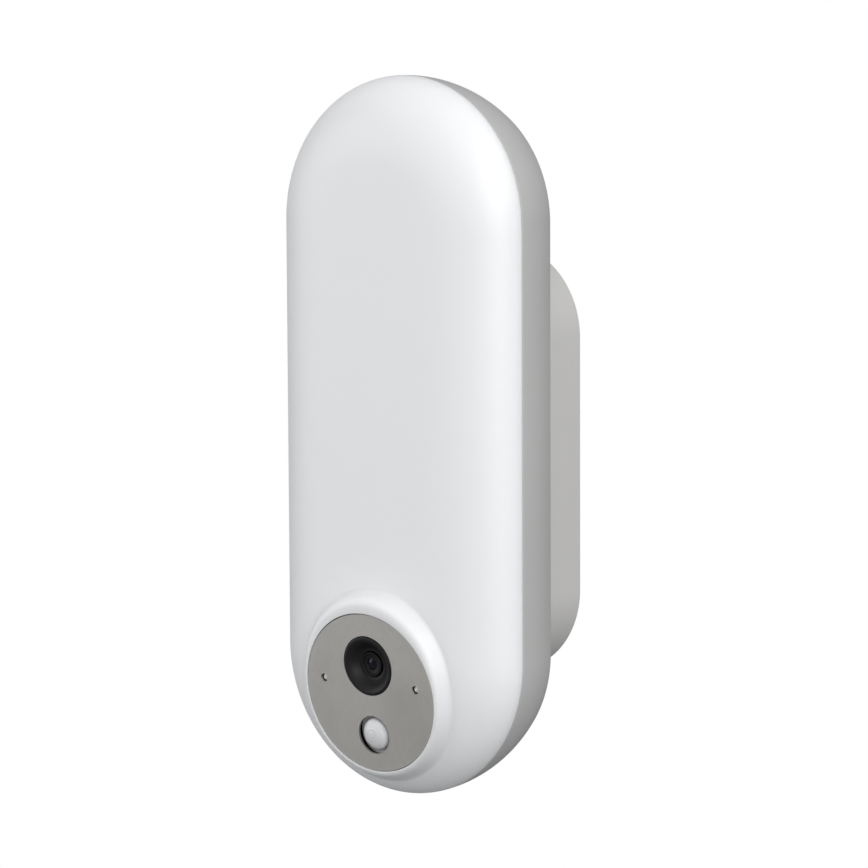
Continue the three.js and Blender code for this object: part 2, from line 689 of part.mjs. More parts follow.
const collarBore = faceRadius + gap + 0.05;
const collar = turned([
  [collarBore, -gap],
  [collarBore + collarTopWidth, -gap],
  [collarBore + collarTopWidth + 1, 0.5],
  [collarBore + collarTopWidth + 1.8, collarDepth * 0.45],
  [collarBore + collarTopWidth + collarSpread, collarDepth],
  [collarBore + collarTopWidth + collarSpread, collarDepth + 1],
  [collarBore, collarDepth + 4],
], round).applyMatrix4(fromPod);
add('front_diffuser', join(
  cut(
    turned([[0, -jointOut - gap], ...outerShoulder, [0, -frontOut]], round, bodyHalfStraight)
      .translate(0, 0, bodyRise),
    turned([[0, -jointOut + 1], [innerShoulder[0][0], -jointOut + 1], ...innerShoulder,
      [0, -frontOut + diffuserWall]], round, bodyHalfStraight).translate(0, 0, bodyRise),
    rod(collarBore + 0.5, -1.5 * cupDepth, 1.5 * cupDepth, 0, 0, round).applyMatrix4(fromPod),
  ),
  turned([
    [spigotInner, -jointOut + spigotDepth],
    [spigotOuter, -jointOut + spigotDepth],
    [spigotOuter, -jointOut - gap],
    [bodyRadius - diffuserWall + 0.5, -jointOut - gap],
    [bodyRadius - diffuserWall + 0.2, -jointOut - spigotWall],
    [spigotInner, -jointOut - spigotWall],
  ], round, bodyHalfStraight).translate(0, 0, bodyRise),
  collar,
), 'opal');

add('diffuser_seal', pillRing(
  spigotOuter + gap, sealOuter, bodyHalfStraight, jointOut - sealDepth, jointOut - 0.1,
).translate(0, 0, bodyRise), 'greyRubber');

// ---------------------------------------------------------------- camera pod

// Pod cup: black moulding that carries the steel face and is screwed to the heat spreader.
const cupBack = faceThickness + gap + cupDepth;
const cupFloor = cupBack - cupWall;
const padRise = faceRadius - cupWall - 5.4;
const spreaderFront = block([-bodyRadius, 0, podCentreZ - bodyRadius],
  [bodyRadius, -ledBoardBackOut, podCentreZ + bodyRadius]);
function podBoss(x) {
  return rod(4, cupBack - 1, cupBack + 14, x, 0, 12);
}
add('pod_cup', cut(
  join(
    turned([
      [0, cupBack],
      [faceRadius, cupBack],
      [faceRadius, faceThickness + gap],
      [faceRadius - cupWall, faceThickness + gap],
      [faceRadius - cupWall, cupFloor],
      [0, cupFloor],
    ], round),
    cut(join(podBoss(-podScrewX), podBoss(podScrewX)), spreaderFront.applyMatrix4(toPod)),
    rod(2.5, cupFloor - 0.8, cupFloor + 1, 0, padRise, 12),
    rod(2.5, cupFloor - 0.8, cupFloor + 1, 0, -padRise, 12),
  ),
  ...podScrewSpots.map(([x, z]) => rod(screwPilotRadius, -boxDepth, -spreaderFrontOut - 7, x, z, roundScrew)
    .applyMatrix4(toPod)),
  rod(leadHoleRadius, cupFloor - 1, cupBack + 1, 0, -10),
), 'black', pod);

const podScrewNames = ['left', 'right'];
podScrewSpots.forEach(([x, z], i) => {
  add(`pod_screw_${podScrewNames[i]}`, screw(7.5), 'zincSteel').position.set(x, -spreaderBackOut + gap, z);
});

add('face_plate', cut(
  rod(faceRadius, 0, faceThickness, 0, 0, 48),
  rod(bezelRadius + gap, -1, faceThickness + 1, 0, lensRise, 24),
  rod(pirHoleRadius, -1, faceThickness + 1, 0, -pirDrop, 20),
  rod(micHoleRadius, -1, faceThickness + 1, -micSpread, micRise, 12),
  rod(micHoleRadius, -1, faceThickness + 1, micSpread, micRise, 12),
), 'steelFace', pod);

// Lens: a dished black ring, a threaded barrel with two glasses, and the holder with the filter.
const lensGroup = new THREE.Group();
lensGroup.position.z = lensRise;
pod.add(lensGroup);
add('lens_bezel', turned([
  [barrelRadius + gap, 3.2],
  [bezelRadius - 2.2, -0.4],
  [bezelRadius - 0.5, -0.4],
  [bezelRadius, 0.1],
  [bezelRadius, faceThickness + gap],
  [bezelRadius + 1.6, faceThickness + gap],
  [bezelRadius + 1.6, faceThickness + 1.5],
  [bezelRadius, faceThickness + 1.5],
  [barrelRadius + 2.6, 6.4],
  [barrelRadius + gap, 6.4],
], 24), 'black', lensGroup);
const threadRadius = 6;
const barrelBack = 14;
add('lens_barrel', turned([
  [lensRadius + gap, 2.4],
  [barrelRadius, 2.4],
  [barrelRadius, 6.8],
  [threadRadius, 7.2],
  [threadRadius, barrelBack],
  [lensRadius + gap, barrelBack],
  [lensRadius + gap, 12],
  [lensRadius - 1, 11.6],
  [lensRadius - 1, 5.9],
  [lensRadius + gap, 5.5],
]), 'black', lensGroup);
add('front_lens', turned([
  [0, 3], [lensRadius * 0.5, 3.25], [lensRadius, 4.1], [lensRadius, 5.2], [0, 5.2],
]), 'glass', lensGroup);
add('rear_lens', turned([
  [0, 12.3], [lensRadius, 12.3], [lensRadius, 13], [lensRadius * 0.5, 13.5], [0, 13.7],
]), 'glass', lensGroup);

const filterTravel = 6.6;
const windowHalf = [2.6, 3];
const filterFront = 14.8;
const filterBack = 15.8;
const filterLeft = -filterTravel - windowHalf[0] - 1.2;
const filterRight = windowHalf[0] + 1.2;
const pocketHalf = filterRight + filterTravel + gap;
const boardFront = 17.5;
add('lens_holder', cut(
  block([-pocketHalf - 1.5, 8.5, -7.2], [pocketHalf + 1.5, boardFront - gap, 7.2]),
  rod(threadRadius + gap, 7, filterFront, 0, 0),
  block([-pocketHalf, filterFront - gap, -4.6], [pocketHalf, boardFront, 4.6]),
), 'black', lensGroup);
function filterWindow(x) {
  return block([x - windowHalf[0], filterFront - 1, -windowHalf[1]],
    [x + windowHalf[0], filterBack + 1, windowHalf[1]]);
}
add('filter_slider', cut(
  block([filterLeft, filterFront, -4.3], [filterRight, filterBack, 4.3]),
  filterWindow(0),
  filterWindow(-filterTravel),
), 'black', lensGroup);
add('ir_cut_glass', block([-windowHalf[0] + gap, filterFront + 0.2, -windowHalf[1] + gap],
  [windowHalf[0] - gap, filterBack - 0.2, windowHalf[1] - gap]), 'cutGlass', lensGroup);
add('filter_coil', turned([
  [0, -5], [2.9, -5], [2.9, -4.2], [2.2, -4.2], [2.2, 4.2], [2.9, 4.2], [2.9, 5], [0, 5],
], 14).rotateZ(Math.PI / 2).translate(0, 13, 10.6), 'copper', lensGroup);
add('image_sensor', block([-4.4, boardFront - gap - 0.9, -3.6],
  [4.4, boardFront - gap, 3.6]), 'glass', lensGroup);
add('camera_board', overlap(
  block([-17, boardFront, -29], [17, boardFront + 1.1, 29]),
  rod(faceRadius - cupWall - 0.6, boardFront - 1, boardFront + 2, 0, 0, round),
), 'board', pod);

// Motion sensor: a white lens dome held behind its hole, with the sensor can at its focus.
const pirBase = 3.4;
add('pir_lens', turned([
  [0, -1.6],
  [pirLensRadius * 0.38, -1.2],
  [pirLensRadius * 0.7, 0],
  [pirLensRadius * 0.92, 1.7],
  [pirLensRadius, pirBase],
  [pirLensRadius + 2, pirBase],
  [pirLensRadius + 2, pirBase + 1],
  [pirLensRadius - 1, pirBase + 1],
  [pirLensRadius * 0.6, 1.4],
  [0, -0.4],
]).translate(0, 0, -pirDrop), 'pirWhite', pod);
add('pir_sensor', turned([
  [0, 8.5],
  [4.6, 8.5],
  [4.6, 12.4],
  [5, 12.6],
  [5, 13.2],
  [3, 13.2],
  [3, boardFront - gap],
  [0, boardFront - gap],
]).translate(0, 0, -pirDrop), 'zincSteel', pod);

// Microphones: a capsule in a rubber boot behind each small hole.
const bootFront = faceThickness + gap;
[['left', -micSpread], ['right', micSpread]].forEach(([side, x]) => {
  add(`mic_boot_${side}`, turned([
    [1.1, bootFront], [3.6, bootFront], [3.6, 7.4], [2.6, 7.4], [2.6, 3.6], [1.1, 3.6],
  ], 14).translate(x, 0, micRise), 'rubber', pod);
  add(`mic_${side}`, rod(2.3, 3.9, 6.6, x, micRise, 14), 'aluminium', pod);
});

// Flat lead from the camera board through the cup and the spreader to the main board.
const leadStart = new THREE.Vector3(0, boardFront + 1.4, -10).applyMatrix4(fromPod);
const ribbon = new THREE.Shape([
  new THREE.Vector2(-0.3, -3),
  new THREE.Vector2(0.3, -3),
  new THREE.Vector2(0.3, 3),
  new THREE.Vector2(-0.3, 3),
]);
add('camera_lead', lead([
  leadStart.toArray(),
  [0, leadStart.y + 4, leadStart.z + 0.5],
  [0, -spreaderFrontOut, leadHoleZ],
  [0, -spreaderBackOut + 1, leadHoleZ + 1],
  [0, -boardFrontOut - 2.2, leadHoleZ + 1.6],
], ribbon, 10), 'copper');

light.updateMatrixWorld(true);

export default light;
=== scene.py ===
import math

import bmesh
import bpy
import numpy as np
from mathutils import Matrix, Vector


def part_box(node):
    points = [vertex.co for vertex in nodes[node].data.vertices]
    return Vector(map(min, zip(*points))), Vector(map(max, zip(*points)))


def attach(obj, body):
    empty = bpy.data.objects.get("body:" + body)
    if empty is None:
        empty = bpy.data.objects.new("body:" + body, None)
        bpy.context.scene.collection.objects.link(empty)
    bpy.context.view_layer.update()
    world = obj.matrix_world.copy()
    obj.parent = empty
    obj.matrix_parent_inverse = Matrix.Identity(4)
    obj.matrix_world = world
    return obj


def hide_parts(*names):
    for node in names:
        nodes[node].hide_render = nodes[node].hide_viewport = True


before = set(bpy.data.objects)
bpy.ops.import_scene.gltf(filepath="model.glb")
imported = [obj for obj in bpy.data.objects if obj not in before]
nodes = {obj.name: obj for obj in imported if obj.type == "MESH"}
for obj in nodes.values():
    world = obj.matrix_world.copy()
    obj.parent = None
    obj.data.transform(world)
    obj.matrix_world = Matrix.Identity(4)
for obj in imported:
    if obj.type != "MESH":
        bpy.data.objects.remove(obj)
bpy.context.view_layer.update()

# ---------------------------------------------------------------- camera
# A long lens at the light's right, a little above it, so that the pill outline hardly tapers.
# The front joint plane and the middle of the light come from the CAD solids.
housing_low, housing_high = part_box("body_housing")
BODY_R = housing_high.x
MID_Z = (housing_low.z + housing_high.z) / 2
JOINT = -housing_low.y
azimuth, elevation, roll = math.radians(39.05), math.radians(6.75), math.radians(-0.28)
distance = 27.142 * BODY_R
aim = Vector((0.2339 * BODY_R, -JOINT, MID_Z + 0.0378 * BODY_R))
level_reach = math.cos(elevation)
back = Vector((math.sin(azimuth) * level_reach, -math.cos(azimuth) * level_reach, math.sin(elevation)))
right = Vector((math.cos(azimuth), math.sin(azimuth), 0))
up = back.cross(right)
rolled_right = math.cos(roll) * right + math.sin(roll) * up
rolled_up = math.cos(roll) * up - math.sin(roll) * right
camera_data = bpy.data.cameras.new("camera")
camera_data.lens = 164.64
camera_data.sensor_width = 36
camera_data.clip_start = 0.05
camera = bpy.data.objects.new("camera", camera_data)
bpy.context.scene.collection.objects.link(camera)
camera_turn = Matrix((rolled_right, rolled_up, back)).transposed().to_4x4()
camera.matrix_world = Matrix.Translation(aim + distance * back) @ camera_turn
bpy.context.scene.camera = camera

# ---------------------------------------------------------------- studio
# A grey floor well below the light, unseen by the camera, and a surround that is white to the camera.
# A broad key lamp stands at the front right, a softer one at the side and a weaker fill at the left.
bpy.context.scene.view_settings.view_transform = "Standard"
floor_half, floor_drop = 6.0, 0.35
floor_z = housing_low.z - floor_drop
floor_mesh = bpy.data.meshes.new("floor")
floor_mesh.from_pydata(
    [(x * floor_half, y * floor_half, floor_z) for x, y in ((-1, -1), (1, -1), (1, 1), (-1, 1))], [], [(0, 1, 2, 3)]
)
floor = bpy.data.objects.new("floor", floor_mesh)
bpy.context.scene.collection.objects.link(floor)


def floor_material(name):
    """Matt mid-grey paper whose tone wanders slightly, by noise."""
    material = bpy.data.materials.new(name)
    material.use_nodes = True
    tree = material.node_tree
    paper = tree.nodes["Principled BSDF"]
    paper.inputs["Roughness"].default_value = 0.9
    place = tree.nodes.new("ShaderNodeTexCoord")
    noise = tree.nodes.new("ShaderNodeTexNoise")
    noise.inputs["Scale"].default_value = 3
    tone = tree.nodes.new("ShaderNodeMix")
    tone.data_type = "RGBA"
    tone.inputs["A"].default_value = (0.27, 0.27, 0.27, 1)
    tone.inputs["B"].default_value = (0.29, 0.29, 0.29, 1)
    tree.links.new(place.outputs["Object"], noise.inputs["Vector"])
    tree.links.new(noise.outputs["Fac"], tone.inputs["Factor"])
    tree.links.new(tone.outputs["Result"], paper.inputs["Base Color"])
    return material


floor.data.materials.append(floor_material("floor_paper"))
floor.visible_camera = False

# The surround is white to the camera. What it lends to the light falls from front to back and from
# top to bottom, by a sum of the direction's two parts.
world = bpy.data.worlds.new("studio")
bpy.context.scene.world = world
world.use_nodes = True
sky = world.node_tree
direction = sky.nodes.new("ShaderNodeTexCoord")
slope = sky.nodes.new("ShaderNodeVectorMath")
slope.operation = "DOT_PRODUCT"
slope.inputs[1].default_value = (0.0, -0.26, 0.19)
level = sky.nodes.new("ShaderNodeMath")
level.operation = "ADD"
level.inputs[1].default_value = 0.45
level.use_clamp = True
seen = sky.nodes.new("ShaderNodeLightPath")
surround = sky.nodes.new("ShaderNodeMix")
surround.data_type = "FLOAT"
surround.inputs["B"].default_value = 1.0
sky.links.new(direction.outputs["Generated"], slope.inputs[0])
sky.links.new(slope.outputs["Value"], level.inputs[0])
sky.links.new(seen.outputs["Is Camera Ray"], surround.inputs["Factor"])
sky.links.new(level.outputs["Value"], surround.inputs["A"])
sky.links.new(surround.outputs["Result"], sky.nodes["Background"].inputs["Strength"])
sky.nodes["Background"].inputs["Color"].default_value = (1, 1, 1, 1)


def soft_lamp(name, place, size, power):
    """A rectangular area lamp aimed at the middle of the light and unseen by the camera."""
    data = bpy.data.lights.new(name, "AREA")
    data.shape = "RECTANGLE"
    data.size, data.size_y = size
    data.energy = power
    lamp = bpy.data.objects.new(name, data)
    bpy.context.scene.collection.objects.link(lamp)
    lamp.location = place
    lamp.rotation_euler = (aim - Vector(place)).to_track_quat("-Z", "Y").to_euler()
    lamp.visible_camera = False


soft_lamp("key_lamp", (1.45, -0.82, 0.6), (1.2, 1.3), 21)
soft_lamp("side_lamp", (1.3, 0.1, 1.25), (0.9, 0.9), 4.5)
soft_lamp("fill_lamp", (-1.5, -1.0, 0.0), (1.1, 1.4), 10.5)

# ---------------------------------------------------------------- grey housing
# The light's body is a painted aluminium shell. Its sides swell from the flat back to the joint with
# the opal front, and its back carries the card door, the reset button and the speaker slots.


def grid_object(name, points, wrap_rows=True, cap_first=False, cap_last=False):
    """A surface from a grid of points, rows by columns. Columns always run round and close; rows join
    last to first when wrap_rows is set, and a cap fills the first or last row with one fan."""
    rows, columns = points.shape[:2]
    row = np.arange(rows if wrap_rows else rows - 1)
    column = np.arange(columns)
    r, c = np.meshgrid(row, column, indexing="ij")
    r2, c2 = (r + 1) % rows, (c + 1) % columns
    quads = np.stack([r * columns + c, r * columns + c2, r2 * columns + c2, r2 * columns + c], -1).reshape(-1, 4)
    faces = quads.tolist()
    vertices = points.reshape(-1, 3)
    for wanted, index, flip in ((cap_first, 0, True), (cap_last, rows - 1, False)):
        if wanted:
            ring = (index * columns + column).tolist()
            faces.append(ring[::-1] if flip else ring)
    mesh = bpy.data.meshes.new(name)
    mesh.from_pydata(vertices.tolist(), [], faces)
    mesh.validate()
    mesh.polygons.foreach_set("use_smooth", [True] * len(mesh.polygons))
    thing = bpy.data.objects.new(name, mesh)
    bpy.context.scene.collection.objects.link(thing)
    point_outwards(thing)
    return thing
def capped(name, points):
    """A closed solid from a grid of rings, with a cap on its first and its last."""
    return grid_object(name, points, wrap_rows=False, cap_first=True, cap_last=True)


def point_outwards(thing):
    """Turns every face over when the signed volume, a sum over fans of each face, is negative."""
    work = bmesh.new()
    work.from_mesh(thing.data)
    if work.calc_volume(signed=True) < 0:
        bmesh.ops.reverse_faces(work, faces=work.faces)
    work.to_mesh(thing.data)
    work.free()


def sharpen(thing, degrees):
    """Marks the edges whose faces meet at more than an angle as sharp, so they shade crisply."""
    work = bmesh.new()
    work.from_mesh(thing.data)
    limit = math.radians(degrees)
    for edge in work.edges:
        edge.smooth = not (len(edge.link_faces) == 2 and edge.calc_face_angle() > limit)
    work.to_mesh(thing.data)
    work.free()


def pill(profile, half_straight, middle_z, columns=192):
    """A pill-shaped solid: each profile point (radius, y) becomes a ring whose outline is a circle of
    that radius cut in half and pulled apart by the straight."""
    profile = np.asarray(profile, float)
    turn = 2 * np.pi * (np.arange(columns) + 0.5) / columns
    x = profile[:, :1] * np.sin(turn)[None, :]
    z = profile[:, :1] * np.cos(turn)[None, :] + middle_z + half_straight * np.sign(np.cos(turn))[None, :]
    y = np.repeat(profile[:, 1:2], columns, 1)
    return np.stack([x, y, z], -1)


def arc(centre, radius, start, end, steps):
    """Points (radius, y) on a circular arc between two angles in degrees."""
    angle = np.radians(np.linspace(start, end, steps))
    return np.stack([centre[0] + radius * np.cos(angle), centre[1] + radius * np.sin(angle)], -1)


def carve(thing, cutters):
    """Cuts a list of closed objects out of a piece with exact booleans and deletes them."""
    for cutter in cutters:
        modifier = thing.modifiers.new("cut", "BOOLEAN")
        modifier.operation = "DIFFERENCE"
        modifier.solver = "EXACT"
        modifier.object = cutter
    bpy.context.view_layer.update()
    evaluated = thing.evaluated_get(bpy.context.evaluated_depsgraph_get())
    mesh = bpy.data.meshes.new_from_object(evaluated)
    thing.modifiers.clear()
    thing.data = mesh
    for cutter in cutters:
        bpy.data.objects.remove(cutter)


def bar(name, low, high, round_by=0.0, steps=4):
    """A block between two corners whose four upright edges, along y, are rounded."""
    low, high = np.minimum(low, high), np.maximum(low, high)
    r = max(round_by, 1e-5)
    ring = []
    for cx, cz, start in (
        (high[0] - r, high[2] - r, 0), (low[0] + r, high[2] - r, 90),
        (low[0] + r, low[2] + r, 180), (high[0] - r, low[2] + r, 270),
    ):
        ring.append(arc((cx, cz), r, start, start + 90, steps))
    ring = np.concatenate(ring)
    grid = np.stack([np.stack([ring[:, 0], np.full(len(ring), y), ring[:, 1]], -1) for y in (low[1], high[1])])
    return capped(name, grid)


def peg(name, radius, y0, y1, x, z, columns=48):
    """A plain round cutter along y."""
    turn = 2 * np.pi * np.arange(columns) / columns
    across, height = x + radius * np.cos(turn), z + radius * np.sin(turn)
    return capped(name, np.stack([np.stack([across, np.full(columns, y), height], -1) for y in (y0, y1)]))


BACK = -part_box("wall_box")[0].y + 0.0003
DEPTH = JOINT - BACK
SIDE_DROP = 0.0086
HALF_STRAIGHT = (housing_high.z - housing_low.z) / 2 - BODY_R
housing_wall = 0.0024
edge_round = 0.0022
behind = np.linspace(1, 0, 26)
swell = np.stack([BODY_R - SIDE_DROP * behind**2, -(JOINT - behind * DEPTH)], -1)
swell = swell[swell[:, 1] < -(BACK + edge_round)]
corner = arc((BODY_R - SIDE_DROP - edge_round + 0.0001, -(BACK + edge_round)), edge_round, 90, 8, 9)
lip = arc((BODY_R - 0.0005, -(JOINT - 0.0005)), 0.0005, 0, -90, 5)
inner = swell[::-1][1:] - np.array([housing_wall, 0])
housing_profile = np.concatenate([
    [[0.0, -BACK]], np.stack([np.linspace(0.004, corner[0, 0] - 0.001, 8), np.full(8, -BACK)], -1), corner,
    swell[:-1], lip, [[BODY_R - housing_wall, -JOINT]], inner,
    [[BODY_R - SIDE_DROP - 0.004, -(BACK + 0.0025)], [0.0, -(BACK + 0.0025)]],
])
housing_profile[0, 0] = housing_profile[-1, 0] = 1e-5
housing = capped("housing_shell", pill(housing_profile, HALF_STRAIGHT, MID_Z))
door_low, door_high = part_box("sd_door")
button_low, button_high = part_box("reset_button")
button_x, button_z = (button_low.x + button_high.x) / 2, (button_low.z + button_high.z) / 2
speaker_low, speaker_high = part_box("speaker")
speaker_z = (speaker_low.z + speaker_high.z) / 2
pin_low, pin_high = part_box("sd_door_pin")
door_gap = 0.0003
door_bottom = pin_high.z + 0.0011
outside, through = -BACK + 0.001, -BACK - 0.004
cutters = [
    bar("cut", (door_low.x - door_gap, outside, door_bottom),
        (door_high.x + door_gap, -BACK - 0.0018, door_high.z + door_gap), 0.0012),
    bar("cut", (door_low.x + 0.0017, -BACK, door_bottom + 0.002),
        (door_high.x - 0.0017, through, door_high.z - 0.0017), 0.0008),
    peg("cut", 0.0027, outside, through, button_x, button_z),
]
for x in (-0.010, -0.005, 0.0, 0.005, 0.010):
    half = math.sqrt(0.013**2 - x**2)
    cutters.append(bar("cut", (x - 0.001, outside, speaker_z - half),
                       (x + 0.001, through, speaker_z + half), 0.00099))
carve(housing, cutters)
sharpen(housing, 38)


def new_group(name, values=(), colours=(), vectors=()):
    """A shader node group with named inputs of three kinds that gives a colour, a roughness and a
    normal. Returns its tree, its inputs and its outputs."""
    tree = bpy.data.node_groups.new(name, "ShaderNodeTree")
    for labels, kind in ((colours, "NodeSocketColor"), (vectors, "NodeSocketVector"), (values, "NodeSocketFloat")):
        for label in labels:
            tree.interface.new_socket(label, in_out="INPUT", socket_type=kind)
    for label, kind in (("Color", "Color"), ("Roughness", "Float"), ("Normal", "Vector")):
        tree.interface.new_socket(label, in_out="OUTPUT", socket_type=f"NodeSocket{kind}")
    return tree, tree.nodes.new("NodeGroupInput").outputs, tree.nodes.new("NodeGroupOutput").inputs


def add_node(tree, kind, **values):
    """A node of a tree with some of its inputs set, an underscore in a name standing for a space."""
    node = tree.nodes.new(f"ShaderNode{kind}")
    for label, value in values.items():
        node.inputs[label.replace("_", " ")].default_value = value
    return node


def shade(tree, given, out, mask, height, strength, distance):
    """Ends a group: a mask blends the two colours and the two roughnesses, a height gives the normal.
    Strength and distance are numbers or the group's own inputs."""
    tone = tree.nodes.new("ShaderNodeMix")
    tone.data_type = "RGBA"
    gloss, bump = add_node(tree, "MapRange"), add_node(tree, "Bump")
    for value, socket in ((strength, bump.inputs["Strength"]), (distance, bump.inputs["Distance"])):
        if isinstance(value, float):
            socket.default_value = value
        else:
            tree.links.new(value, socket)
    for start, end in (
        (mask, tone.inputs["Factor"]), (given["Dark"], tone.inputs["A"]), (given["Pale"], tone.inputs["B"]),
        (mask, gloss.inputs["Value"]), (given["Gloss Low"], gloss.inputs["To Min"]),
        (given["Gloss High"], gloss.inputs["To Max"]), (height, bump.inputs["Height"]),
        (tone.outputs["Result"], out["Color"]), (gloss.outputs["Result"], out["Roughness"]),
        (bump.outputs["Normal"], out["Normal"]),
    ):
        tree.links.new(start, end)


def effect_material(name, group, settings, constants=None, normal=True):
    """A material that wears one effect's colour, roughness and, unless told not to, its normal."""
    material = bpy.data.materials.new(name)
    material.use_nodes = True
    tree = material.node_tree
    shader = tree.nodes["Principled BSDF"]
    effect = tree.nodes.new("ShaderNodeGroup")
    effect.node_tree = group
    for node, values in ((effect, settings), (shader, constants or {})):
        for label, value in values.items():
            node.inputs[label].default_value = value
    tree.links.new(effect.outputs["Color"], shader.inputs["Base Color"])
    tree.links.new(effect.outputs["Roughness"], shader.inputs["Roughness"])
    if normal:
        tree.links.new(effect.outputs["Normal"], shader.inputs["Normal"])
    return material


def shades(colour, dark, pale, low, high):
    """The settings of a two-tone effect: a colour times two factors, and its two roughnesses."""
    return {"Dark": (*[c * dark for c in colour], 1), "Pale": (*[c * pale for c in colour], 1),
            "Gloss Low": low, "Gloss High": high}


def mottled_group():
    """A slow noise moves the colour and the roughness together; a fine noise is the height."""
    tree, given, out = new_group("mottled_skin", (
        "Gloss Low", "Gloss High", "Drift Scale", "Drift Detail", "Grain Scale", "Grain Detail",
        "Bump Strength", "Bump Distance",
    ), ("Dark", "Pale"))
    place = tree.nodes.new("ShaderNodeTexCoord")
    noises = []
    for label in ("Drift", "Grain"):
        noise = tree.nodes.new("ShaderNodeTexNoise")
        tree.links.new(place.outputs["Object"], noise.inputs["Vector"])
        tree.links.new(given[f"{label} Scale"], noise.inputs["Scale"])
        tree.links.new(given[f"{label} Detail"], noise.inputs["Detail"])
        noises.append(noise.outputs["Fac"])
    shade(tree, given, out, *noises, given["Bump Strength"], given["Bump Distance"])
    return tree


mottled_skin = mottled_group()


def mottled_material(name, tones, drift, grain=(5, 2), bump=(0, 0.001), constants=None, normal=True):
    """The mottled effect with two tones, (scale, detail) of both noises and the bump's two numbers."""
    settings = dict(zip(
        ("Drift Scale", "Drift Detail", "Grain Scale", "Grain Detail", "Bump Strength", "Bump Distance"),
        (*drift, *grain, *bump),
    ))
    return effect_material(name, mottled_skin, {**tones, **settings}, constants, normal)


def paint_material(name, colour, roughness):
    """Powder coat: a flat colour that drifts slightly, with the fine orange-peel of sprayed powder."""
    return mottled_material(name, shades(colour, 0.965, 1.03, roughness - 0.04, roughness + 0.05),
                            (18, 3), (1 / 0.0006, 4), (0.35, 0.00004))


def finish_piece(thing, material, body, replaced=()):
    """Gives a finished piece its one material, the body it moves with and the nodes it stands for."""
    thing.data.materials.clear()
    thing.data.materials.append(material)
    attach(thing, body)
    if replaced:
        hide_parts(*replaced)
    return thing


grey_coat = paint_material("grey_powder_coat", (0.425, 0.426, 0.423), 0.42)
finish_piece(housing, grey_coat, "fixture", ["body_housing"])

# ---------------------------------------------------------------- card door knuckles
# Two short ears stand out from the housing's back below the card door and hold the door's steel pin.
# Each is a rounded tongue whose round end is centred on the pin.
pin_y, pin_z = (pin_low.y + pin_high.y) / 2, (pin_low.z + pin_high.z) / 2
ear_radius = 0.0017
for side, x0, x1 in (("left", pin_low.x, pin_low.x + 0.003), ("right", pin_high.x - 0.003, pin_high.x)):
    turn = np.radians(np.linspace(0, 180, 25))
    outline = np.concatenate([
        np.stack([pin_y + ear_radius * np.sin(turn), pin_z + ear_radius * np.cos(turn)], -1),
        [[-BACK - 0.0002, pin_z - ear_radius], [-BACK - 0.0002, pin_z + ear_radius]],
    ])
    grid = np.stack([np.insert(outline, 0, x, axis=1) for x in (x0, x1)])
    ear = capped(f"door_ear_{side}", grid)
    sharpen(ear, 38)
    finish_piece(ear, grey_coat, "fixture", ())

# ---------------------------------------------------------------- wall box
# A deep pill-shaped moulding, painted like the housing, with a crisp rear edge that meets the wall.
# Its rear is open; a ledge inside presses the seal on to the wall.
wall_low, wall_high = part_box("wall_box")
box_radius = wall_high.x
box_half_straight = wall_high.z - box_radius
box_rear, box_front = -0.0003, -(BACK - 0.0003)
shell = 0.0025
ledge_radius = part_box("wall_plate")[1].x + 0.0003
seal_depth = -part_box("wall_seal")[0].y
soft = 0.0004
box_profile = np.concatenate([
    [[1e-5, box_front], [box_radius - 0.0006, box_front], [box_radius, box_front + 0.0006]],
    np.stack([np.full(14, box_radius), np.linspace(box_front + 0.001, box_rear - soft - 0.0002, 14)], -1),
    arc((box_radius - soft, box_rear - soft), soft, 0, 90, 5),
    [[box_radius - shell + 0.0002, box_rear], [box_radius - shell, box_rear - 0.0002],
     [box_radius - shell, -seal_depth - 0.0003], [ledge_radius, -seal_depth - 0.0003],
     [ledge_radius, -seal_depth - 0.0025], [box_radius - shell, -seal_depth - 0.005],
     [box_radius - shell, box_front + shell], [1e-5, box_front + shell]],
])
wall_box = capped("wall_box_shell", pill(box_profile, box_half_straight, 0.0))
lock_low, lock_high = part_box("locking_screw")
sharpen(wall_box, 38)
box_coat = paint_material("box_powder_coat", (0.49, 0.486, 0.475), 0.45)
finish_piece(wall_box, box_coat, "fixture", ["wall_box"])

# ---------------------------------------------------------------- opal front
# One milky polycarbonate moulding. Its shoulder is a quarter ellipse, and near the bottom it rolls
# up into a soft collar round the camera's tilted face.
face_low, face_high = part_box("face_plate")
TILT = math.radians(7.46)
FACE_R = face_high.x
FACE_Z = (face_low.z + face_high.z) / 2 - 0.5 * 0.001 * math.sin(TILT)
FACE_OUT = -(face_low.y + face_high.y) / 2 + 0.5 * 0.001 * math.cos(TILT)
SHOULDER_IN, SHOULDER_OUT = 0.0344, 0.0224
collar_bore = FACE_R + 0.00035
flare = 0.0105
seam = 0.0003


def outline_gap(x, z):
    """How far inside the pill outline a point is: the end radius less the distance to the middle line."""
    along = np.clip(z - MID_Z, -HALF_STRAIGHT, HALF_STRAIGHT)
    return BODY_R - np.hypot(x, z - MID_Z - along)


def shoulder_out(inside, inset, depth):
    """The ellipse's height above the rim at a distance inside the outline, flat beyond the inset."""
    run = np.clip(1 - inside / inset, 0, 1)
    return depth * np.sqrt(np.clip(1 - run**2, 0, 1))


